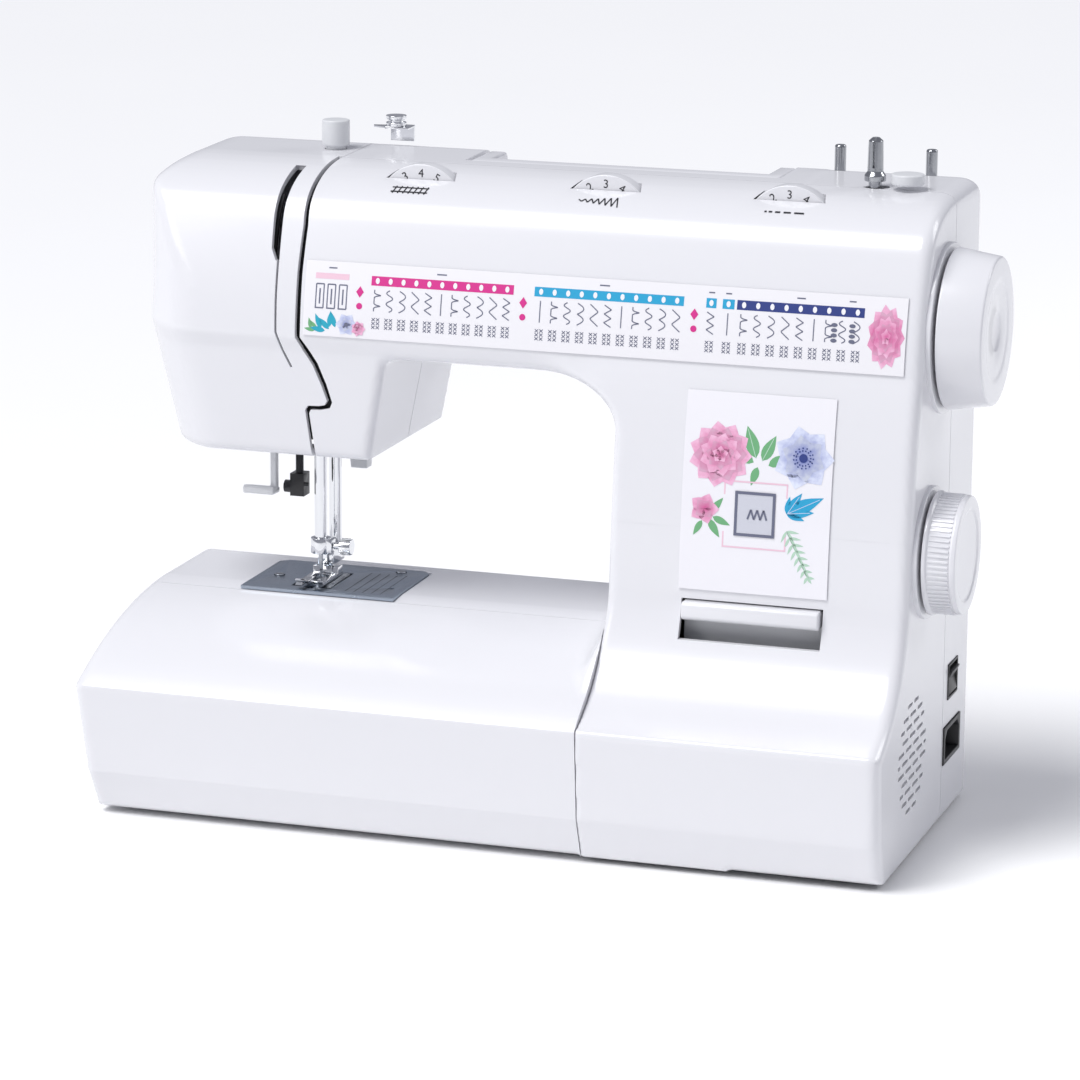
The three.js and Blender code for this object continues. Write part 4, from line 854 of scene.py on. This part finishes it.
flower("panel_anemone", 140.2, 185.5, 14.5, *blues, [(1.0, 7), (0.72, 6)], 0.88)
stamens = [disc(140.2 + r * cos(a), 185.5 + r * sin(a), 0.4, count=6)
           for r in (3.4, 4.6) for a in np.linspace(0, 2 * pi, 15, endpoint=False) + r]
decal("panel_anemone_heart", [disc(140.2, 185.5, 2.0), *stamens], colours["navy"], 1.04)
flower("panel_bud", 94.8, 159.5, 7.2, *pinks, [(1.0, 5), (0.7, 4)], 0.9)
edge = [bar(103.8, 133.8, 142.6, 143.3), bar(103.8, 133.8, 172.6, 173.3), bar(103.8, 104.5, 142.6, 173.3),
        bar(133.1, 133.8, 142.6, 173.3)]
decal("panel_window_line", edge, colours["blush"], 0.86)


def shoulder_z(y):
    line = [point for point in shoulder if point[0] < 41]
    return float(np.interp(y, [point[0] for point in line], [point[1] for point in line]))


def icon(name, shapes, material):
    """A small printed sign on the shoulder just in front of a dial, given as (x, y) outlines."""
    solids = [bridged(*([(x, y - 0.1 - lift, shoulder_z(y) + 0.15 + lift) for x, y in outline]
                        for lift in (0, 0.05))) for outline in map(leftward, shapes)]
    return place_piece(to_object(name, *merged(solids)), material, "root", "black_plastic")


tension_x, width_x, length_x = dial_x.values()
tension_lines = [s for y in (-3, 0) for s in stroke([(tension_x - 11, y), (tension_x + 7, y)], 0.7)]
tension_ticks = [s for x in tension_x + 2.6 * np.arange(7)
                 for s in stroke([(x - 10, -4), (x - 9, 1)], 0.6)]
icon("tension_sign", tension_lines + tension_ticks, ink)
icon("width_sign", stroke([(width_x - 10 + 1.5 * i, -1.5 + (0.5 + 0.22 * i) * (-1) ** i)
                           for i in range(14)], 0.6), ink)
icon("length_sign", [bar(length_x - 9 + s, length_x - 9 + s + w, -2.2, -1.2)
                     for s, w in ((0, 1), (2, 1.6), (5, 2.4), (9, 3.4), (14, 4.6))], ink)


# ---- Window, reverse lever and recess -----------------------------------------------------
# A clear lens covers the pattern drum; below it a rounded bar is pressed down to sew back.
def glossy_clear(name, colour, **values):
    made = Finish(name, colour, 0.06, Transmission_Weight=0.9, IOR=1.46, **values)
    haze = made.node("ShaderNodeTexNoise", {"Vector": made.place(), "Scale": 60.0})
    made.drive("Roughness", haze * 0.04 + 0.03)
    return made.material


clear = glossy_clear("clear_plastic", (0.93, 0.95, 1.0))
grey = moulded("grey_plastic", (0.26, 0.27, 0.30), 0.42)
soft_white = moulded("satin_white", (0.70, 0.71, 0.73), 0.34)
lens = to_object("window_lens_pane", *skin(109.9, 127.6, 148.9, 168.1, -1.2, 0.9, rows=8))
place_piece(lens, clear, "root", "clear_plastic", "window_lens")
decal("window_rim", [bar(109.2, 128.3, 148.3, 149.6), bar(109.2, 128.3, 167.4, 168.7),
                     bar(109.2, 110.5, 148.3, 168.7),
                     bar(127.0, 128.3, 148.3, 168.7)], colours["slate"], 1.15)
decal("window_stitch_sign", stroke([(115.4 + 1.5 * i, 156.2 + 4.4 * (i % 2)) for i in range(7)], 0.8),
      colours["slate"], 1.15)
decal("window_back_card", [bar(110.5, 127.0, 149.6, 167.4)], colours["mist"], 1.0)


def beveled(piece, width=0.6, segments=3, angle=30):
    """Rounds a piece's hard edges and keeps the result as a plain mesh."""
    modifier = piece.modifiers.new("edges", "BEVEL")
    modifier.width, modifier.segments, modifier.limit_method = width * 0.001, segments, "ANGLE"
    modifier.angle_limit = radians(angle)
    modifier.harden_normals = False
    graph = bpy.context.evaluated_depsgraph_get()
    piece.data = bpy.data.meshes.new_from_object(piece.evaluated_get(graph))
    piece.modifiers.clear()
    return smooth(piece)


def united(name, *solids):
    first, *rest = solids
    return cut(to_object(name, *first), rest, "UNION")


lever_low, lever_high = corners("reverse_lever")
lever_x0, lever_x1 = lever_low.x + 2, lever_high.x - 2
lever_face = front_y(112)
grip_line = ((-4.6, 109.6), (-4.2, 115.8), (-2.4, 116.6), (8, 116.6), (8, 108), (-2.6, 108))
grip_section = [(lever_face + y, z) for y, z in grip_line]
grip = beveled(to_object("reverse_grip", *prism("x", grip_section, lever_x0, lever_x1)), 1.4, 4, 20)
place_piece(grip, white, "reverse_lever", "white_shell", "reverse_lever")
shield = to_object("reverse_shield", *block(lever_x0 - 1.6, lever_x1 + 1.6, lever_face + 8.3, lever_face
                                            + 9.8, 94.5, 119.5))
place_piece(shield, soft_white, "reverse_lever", "soft_white")


# ---- Needle plate and feed -----------------------------------------------------------------
# A blue-grey brushed steel plate with slots for the feed teeth, held by two screws.
def metal(name, colour, roughness, stretch=(1, 1, 1), grain=0.06, scale=900.0):
    """Metal with a fine directional grain in its gloss and surface."""
    made = Finish(name, colour, roughness, Metallic=1.0)
    mapped = made.node("ShaderNodeVectorMath", {0: made.place(), 1: stretch}, operation="MULTIPLY")
    lines = made.node("ShaderNodeTexNoise", {"Vector": mapped, "Scale": scale, "Detail": 2.0})
    made.drive("Roughness", lines * 0.14 + (roughness - 0.07))
    made.drive("Normal", made.node("ShaderNodeBump",
                                   {"Height": lines, "Strength": grain, "Distance": 0.0001}))
    return made.material


chrome = metal("chrome", (0.78, 0.79, 0.81), 0.09, grain=0.01)
steel = metal("ground_steel", (0.50, 0.52, 0.55), 0.30)
plate_steel = metal("plate_steel", (0.40, 0.45, 0.52), 0.30, (1, 18, 1), 0.1, 260.0)
PLATE_TOP = plate_high.z
plate_outline = [
    (plate_low.x, plate_low.y), (plate_high.x, plate_low.y),
    (plate_high.x, plate_high.y - 4), (plate_high.x - 4, plate_high.y),
    (plate_low.x + 4, plate_high.y), (plate_low.x, plate_high.y - 4),
]
nx, ny = NEEDLE
plate = to_object("needle_plate_sheet", *prism("z", plate_outline, plate_low.z, PLATE_TOP))
slots = [block(nx + s - 2.6, nx + s + 2.6, -6, 26, 80, 120) for s in (-7.5, 7.5)]
slots += [block(nx - 1.6, nx + 1.6, y0, y1, 80, 120) for y0, y1 in ((-9, -1.5), (12.5, 22))]
slots += [prism("z", disc(nx, ny, 3.5, 1.3, 20), 80, 120), rod("z", (-73, 4, 0), 1.4, 80, 120, 20)]
screw_spots = {"plate_screw_left": (nx - 23, 12), "plate_screw_right": (nx + 31, 36)}
slots += [rod("z", (x, y, 0), 2.8, 80, 120) for x, y in screw_spots.values()]
cut(plate, slots)
place_piece(beveled(plate, 0.25, 2), plate_steel, "root", "plate_steel", "needle_plate")
guide_marks = [block(nx + 18 + 4.5 * i, nx + 18.25 + 4.5 * i, -8, 30, PLATE_TOP + 0.01, PLATE_TOP + 0.05)
               for i in range(5)]
place_piece(to_object("plate_guide_lines", *merged(guide_marks)), shade_and_print_black, "root", "black_plastic")
for index, (name, (x, y)) in enumerate(screw_spots.items()):
    head = to_object(f"{name}_head", *spun("z", (x, y, PLATE_TOP), softened(
        [(0, -1), (2.3, -1), (2.3, 0.6), (0, 0.6)], 0.3), 32))
    cut(head, [block(x - 4, x + 4, y - 0.35, y + 0.35, PLATE_TOP - 0.1, PLATE_TOP + 2)])
    place_piece(smooth(head), steel, "root", "steel", name)


# ---- Needle bar, presser bar and foot --------------------------------------------------------
# Two chromed bars come down from the head. The clamp with its thumb screw holds the needle,
# and the snap-on foot stands on the plate.
clamp_z = PLATE_TOP + 17.75
bar_profile = [(0, PLATE_TOP + 15), (3, PLATE_TOP + 15), (3, 255), (0, 255)]
turned_piece("needle_bar_rod", "z", (nx, ny, 0), bar_profile, 0.5, chrome, "needle_bar", "chrome",
             "needle_bar")
clamp = united("needle_clamp_block", rod("z", (nx, ny, 0), 4.9, PLATE_TOP + 14, PLATE_TOP + 21.4, 48),
               block(nx, nx + 6.4, ny - 2.9, ny + 2.9, PLATE_TOP + 14.6, PLATE_TOP + 20.8))
cut(clamp, [rod("z", (nx, ny, 0), 3.15, PLATE_TOP + 14.7, PLATE_TOP + 30)])
place_piece(beveled(clamp, 0.4, 2), chrome, "needle_bar", "chrome", "needle_clamp")
screw_profile = [(0, 0), (1.7, 0), (1.7, 3.4), (3.9, 3.4), (3.9, 9.2), (0, 9.2)]
turned_piece("clamp_thumb_screw", "x", (nx + 6.7, ny, clamp_z), screw_profile, 0.45, chrome,
             "clamp_screw", "chrome", "needle_clamp_screw")
rib_section = [(-0.3, -0.18), (0.18, -0.1), (0.18, 0.1), (-0.3, 0.18)]
grip_rib = loose_object("grip_rib", *prism("z", rib_section, 3.9, 8.7))
ribbed = ring_of("clamp_screw_knurl", grip_rib, 26, (nx + 6.7, ny, clamp_z), 0.0039, "x", chrome)
place_piece(ribbed, chrome, "clamp_screw", "chrome")
px, py = PRESSER
foot_top = PLATE_TOP + 3.4
press_profile = [(0, foot_top + 5), (3, foot_top + 5), (3, 273), (0, 273)]
turned_piece("presser_bar_rod", "z", (px, py, 0), press_profile, 0.5, chrome, "presser_bar", "chrome",
             "presser_bar")
ankle = to_object("foot_holder_block", *prism("x", [
    (14, foot_top + 3), (14, foot_top + 8), (18, foot_top + 12), (32, foot_top + 12), (32, foot_top
                                                                                       + 5), (29, foot_top
                                                                                              + 3),
    (20, foot_top + 3), (20, foot_top + 0.4), (15, foot_top + 0.4), (15, foot_top + 3)], px - 4, px + 4))
cut(ankle, [rod("z", (px, py, 0), 3.2, foot_top + 4.8, foot_top + 20),
            block(px - 6, px - 2, 13, 21, foot_top, foot_top + 3), block(px + 2, px + 6, 13, 21, foot_top,
                                                                         foot_top + 3)])
place_piece(beveled(ankle, 0.35, 2), chrome, "presser_bar", "chrome", "foot_holder")
side_profile = [(0, 0), (3.4, 0), (3.4, 3), (1.6, 3), (1.6, 6.2), (0, 6.2)]
turned_piece("foot_holder_screw", "x", (px - 10.5, 26, foot_top + 8.5), side_profile, 0.4, chrome,
             "presser_bar", "chrome", count=40)
sole = PLATE_TOP + 1.3
foot_side = [(21, sole), (21, sole + 1.3), (-5, sole + 1.3), (-9.6, sole + 3.4), (-11, sole + 2.7),
             (-5, sole)]
foot = united("presser_foot_sole", prism("x", foot_side, nx - 6.5, nx + 6.5),
              block(nx - 6.5, nx - 2.6, 14, 20, sole + 0.6, foot_top + 2.3),
              block(nx + 2.6, nx + 6.5, 14, 20, sole + 0.6, foot_top + 2.3))
cut(foot, [block(nx - 4, nx + 4, ny - 3, ny + 3, sole - 1, sole + 9),
           block(nx - 1.4, nx + 1.4, -14, ny, sole - 1, sole + 9)])
place_piece(beveled(foot, 0.3, 2), chrome, "presser_foot", "chrome", "presser_foot")


# ---- Lifter and threader ---------------------------------------------------------------------
# Satin plastic levers that hang below the head.
black = moulded("black_plastic", (0.014, 0.014, 0.016), 0.38)
lx, ly, lz = nx + 4.5, 51.0, 173.0
lifter = united("presser_lifter_lever", prism("y",
                                              [(lx - 3.6, lz), (lx + 3.6, lz), (lx + 5, lz - 22),
                                               (lx + 4.4, lz - 28.6),
                (lx - 3.6, lz - 28.6), (lx - 5.2, lz - 16)], ly - 3.4, ly + 3.4), rod("y", (lx, 0, lz), 4,
                                                                                      ly - 3.9, ly + 3.9))
cut(lifter, [rod("y", (lx, 0, lz), 1.6, ly - 6, ly + 6)])
place_piece(beveled(lifter, 0.9, 3, 25), soft_white, "presser_lifter", "soft_white", "presser_lifter")
tx = nx - 11.5
threader_head = united("threader_head_block", rod("z", (tx, ny + 2, 0), 1.9, 138, 194),
                       block(tx - 3.5, tx + 3.5, ny - 2, ny + 6, 138, 149),
                       rod("x", (0, ny + 1, 142), 3, tx - 7, tx - 3), rod("x", (0, ny - 1, 144), 1, tx
                                                                          + 3, tx + 5.7))
place_piece(beveled(threader_head, 0.35, 2), black, "threader", "black_plastic", "threader_head")
ax = nx - 21
arm = united("threader_arm", block(ax - 1.5, ax + 1.5, -1, 3, 142, 190),
             prism("x", [(-5, 140.2), (4, 139.8), (4.4, 142.4), (-4, 144.2), (-5.4, 142.6)], ax - 14, ax
                   + 1.5))
place_piece(beveled(arm, 0.7, 3, 25), soft_white, "threader", "soft_white", "threader_lever")


# ---- Fittings on top ---------------------------------------------------------------------------
# Dark chromed spool pins, the bobbin winder with its stop, the thread guide, the pressure
# dial and the folded carrying handle.
dark_chrome = metal("dark_chrome", (0.42, 0.43, 0.45), 0.16, grain=0.01)
for side in ("left", "right"):
    pin_low, pin_high = corners(f"spool_pin_{side}")
    centre = ((pin_low.x + pin_high.x) / 2, (pin_low.y + pin_high.y) / 2, 0)
    profile = [(0, pin_low.z), (2.7, pin_low.z), (2.7, pin_high.z), (0, pin_high.z)]
    turned_piece(f"spool_pin_{side}_rod", "z", centre, profile, 1.2, dark_chrome, f"spool_pin_{side}",
                 "chrome", f"spool_pin_{side}")
spindle_low, spindle_high = corners("winder_spindle")
sx, sy = (spindle_low.x + spindle_high.x) / 2, (spindle_low.y + spindle_high.y) / 2
spindle_profile = [(0, 285), (3, 285), (3, 301.8), (5, 301.8), (5, 304.4), (3.7, 306.2), (3.4, 320.4),
                   (1.6, 322), (0, 322)]
spindle = to_object("winder_spindle_shaft", *spun("z", (sx, sy, 0), softened(spindle_profile, 0.3), 48))
cut(spindle, [block(sx - 0.5, sx + 0.5, sy - 6, sy, 308, 330)])
place_piece(smooth(spindle), dark_chrome, "winder_spindle", "chrome", "winder_spindle")
stop_low, stop_high = corners("winder_stop")
stop_centre = ((stop_low.x + stop_high.x) / 2, (stop_low.y + stop_high.y) / 2, stop_low.z)
turned_piece("winder_stop_disc", "z", stop_centre, [(0, 0), (7.8, 0), (7.8, 5), (0, 5)], 1.0, soft_white,
             "root", "soft_white", "winder_stop", count=64)
pressure_low, pressure_high = corners("pressure_dial")
pressure_centre = ((pressure_low.x + pressure_high.x) / 2, (pressure_low.y + pressure_high.y) / 2, 0)
cap_profile = [(0, 292), (5, 292), (5, 301.3), (6.7, 301.3), (6.7, 313.6), (0, 313.6)]
turned_piece("pressure_dial_cap", "z", pressure_centre, cap_profile, 0.9, soft_white, "pressure_dial",
             "clear_plastic", "pressure_dial", count=64)
guide = united("thread_guide_bracket", block(-100, -88, 78, 79.6, 301.3, 309.2),
               block(-100, -88, 69.5, 79.6, 308, 309.2),
               prism("z", [(-99, 70.5), (-99, 76), (-107.4, 74.4), (-107, 73.4)], 308, 309.2))
place_piece(beveled(guide, 0.25, 2), chrome, "root", "chrome", "thread_guide")
disc_profile = [(0, 309.3), (5, 309.3), (5, 311), (3.9, 311.5), (3.9, 312.3), (5, 312.8), (5, 314.4),
                (0, 314.4)]
turned_piece("thread_guide_disc", "z", (-95.5, 73.5, 0), disc_profile, 0.2, chrome, "root", "chrome")

pivot_y, pivot_z = 76.0, 295.0
hx0, hx1 = -48.5, 103.5
handle = united("carrying_handle_bow", block(hx0, hx1, 45.5, 56, 291, 299),
                block(hx0, hx0 + 8, 50, pivot_y, 291, 299),
                block(hx1 - 8, hx1, 50, pivot_y, 291, 299), rod("x", (0, pivot_y, pivot_z), 4, hx0, hx0
                                                                + 8),
                rod("x", (0, pivot_y, pivot_z), 4, hx1 - 8, hx1))
place_piece(beveled(handle, 1.2, 4), white, "carrying_handle", "soft_white", "carrying_handle")


# ---- Right wall: switch, inlet and vents ---------------------------------------------------------
# A black rocker and a black three-pin inlet sit below the selector, beside a round field of
# staggered vent slots.
rocker_section = [(186, 58.6), (192.2, 57.9), (190.9, 64.5), (193.5, 69.6), (186, 70.4)]
switch = to_object("power_switch_rocker", *prism("y", rocker_section, 43.6, 59.4))
place_piece(beveled(switch, 0.5, 3, 15), black, "power_switch", "black_plastic", "power_switch")
switch_frame = to_object("power_switch_frame", *block(189, 192.1, 41.8, 61.2, 55.8, 73.2))
cut(switch_frame, [block(180, 199, 43.1, 59.9, 57.1, 71.9)])
place_piece(beveled(switch_frame, 0.4, 2), black, "root", "black_plastic")
inlet = to_object("power_inlet_block", *block(179, 192.2, 35.4, 68.6, 25.4, 43.6))
cut(inlet, [prism("x", [(38, 27.8), (66, 27.8), (66, 38), (62, 41.4), (42, 41.4), (38, 38)], 181, 199)])
place_piece(beveled(inlet, 0.4, 2), black, "root", "black_plastic", "power_inlet")
pins = [rod("x", (0, 52 + s, 34.5), 1.4, 180.5, 187, 24) for s in (-8, 0, 8)]
place_piece(smooth(to_object("power_inlet_pins", *merged(pins))), steel, "root", "steel")

# A black disc just inside the right wall behind the vent slots: painted shade, so the slits read dark
# where the real wall shows only shade inside.
vent_shade = to_object("vent_backing", *prism("x", disc(-27, 48, 30, count=48), 186.2, 187.6))
place_piece(vent_shade, shade_and_print_black, "root", "black_plastic")


# ---- Pieces inside and underneath ------------------------------------------------------------------
# The frame, shafts, pulleys, belts, motor and hook keep their shapes and take real finishes.
cast = metal("cast_aluminium", (0.46, 0.47, 0.48), 0.55, grain=0.25, scale=240.0)
rubber = moulded("black_rubber", (0.012, 0.012, 0.013), 0.8, 0.2)
lamp = glossy_clear("lamp_glass", (0.98, 0.95, 0.86))
inside = {
    cast: ("frame_casting", "base_plate", "motor"),
    steel: ("upper_shaft", "lower_shaft", "motor_pulley", "hook", "bobbin_case", "bobbin", "feed_dog",
            "needle",
            "presser_spring", "winder_arm"),
    chrome: ("take_up_lever",),
    grey: ("drive_pulley", "timing_pulley", "selector_drum"),
    rubber: ("motor_belt", "timing_belt", "foot_front_left", "foot_front_right", "foot_rear_left",
             "foot_rear_right"),
    lamp: ("lamp_bulb",),
}
for material, nodes in inside.items():
    for node in nodes:
        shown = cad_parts[node]
        if not shown.material_slots:
            shown.data.materials.append(material)
        for place in shown.material_slots:
            place.link = "OBJECT"
            place.material = material


# ---- Floor, light and camera -------------------------------------------------------------------------
# A pale plain sweep under soft studio light, seen from the front and a little above.
paint = Finish("studio_paper", (0.98, 0.98, 0.98), 0.75)
fibre = paint.node("ShaderNodeTexNoise", {"Vector": paint.place(), "Scale": 3.0})
paint.drive("Roughness", fibre * 0.1 + 0.7)
bpy.ops.mesh.primitive_plane_add(size=12, location=(0, 2.0, 0))
floor = bpy.context.object
floor.name = "floor"
floor.data.materials.append(paint.material)


def area_light(name, spot, aim, size, power, colour=(1, 1, 1)):
    lamp_data = bpy.data.lights.new(name, "AREA")
    lamp_data.shape, lamp_data.size, lamp_data.size_y = "RECTANGLE", *size
    lamp_data.energy, lamp_data.color = power, colour
    made = bpy.data.objects.new(name, lamp_data)
    made.location = spot
    made.rotation_euler = (Vector(aim) - Vector(spot)).to_track_quat("-Z", "Y").to_euler()
    bpy.context.collection.objects.link(made)


area_light("key", (-1.2, -1.5, 1.3), (0, 0, 0.15), (0.7, 1.3), 9, (1.0, 0.99, 0.97))
area_light("rim", (1.4, 1.0, 1.2), (0, 0, 0.2), (0.6, 0.9), 7)
sky = bpy.data.lights.new("overhead", "SUN")
sky.energy, sky.angle = 2.25, radians(30)
overhead = bpy.data.objects.new("overhead", sky)
overhead.rotation_euler = Vector((-0.36, -0.42, 1)).to_track_quat("Z", "Y").to_euler()
bpy.context.collection.objects.link(overhead)
world = bpy.data.worlds.new("studio")
world.use_nodes = True
world.node_tree.nodes["Background"].inputs["Color"].default_value = (0.86, 0.88, 1.0, 1)
world.node_tree.nodes["Background"].inputs["Strength"].default_value = 0.36
bpy.context.scene.world = world
bpy.context.scene.view_settings.view_transform = "Standard"

azimuth, elevation, roll, distance = radians(17.97), radians(13.52), radians(0.41), 2.180
target = datum + Vector((2.85, 0, 127.8)) * 0.001
back = Vector((sin(azimuth) * cos(elevation), -cos(azimuth) * cos(elevation), sin(elevation)))
right_way = (-back).cross(Vector((0, 0, 1))).normalized()
up_way = right_way.cross(-back)
tilted_right = right_way * cos(roll) + up_way * sin(roll)
tilted_up = up_way * cos(roll) - right_way * sin(roll)
camera_data = bpy.data.cameras.new("camera")
camera_data.sensor_width, camera_data.lens = 36, 154.1
camera = bpy.data.objects.new("camera", camera_data)
turn = Matrix((tilted_right, tilted_up, back)).transposed().to_4x4()
camera.matrix_world = Matrix.Translation(target + back * distance) @ turn
bpy.context.collection.objects.link(camera)
bpy.context.scene.camera = camera
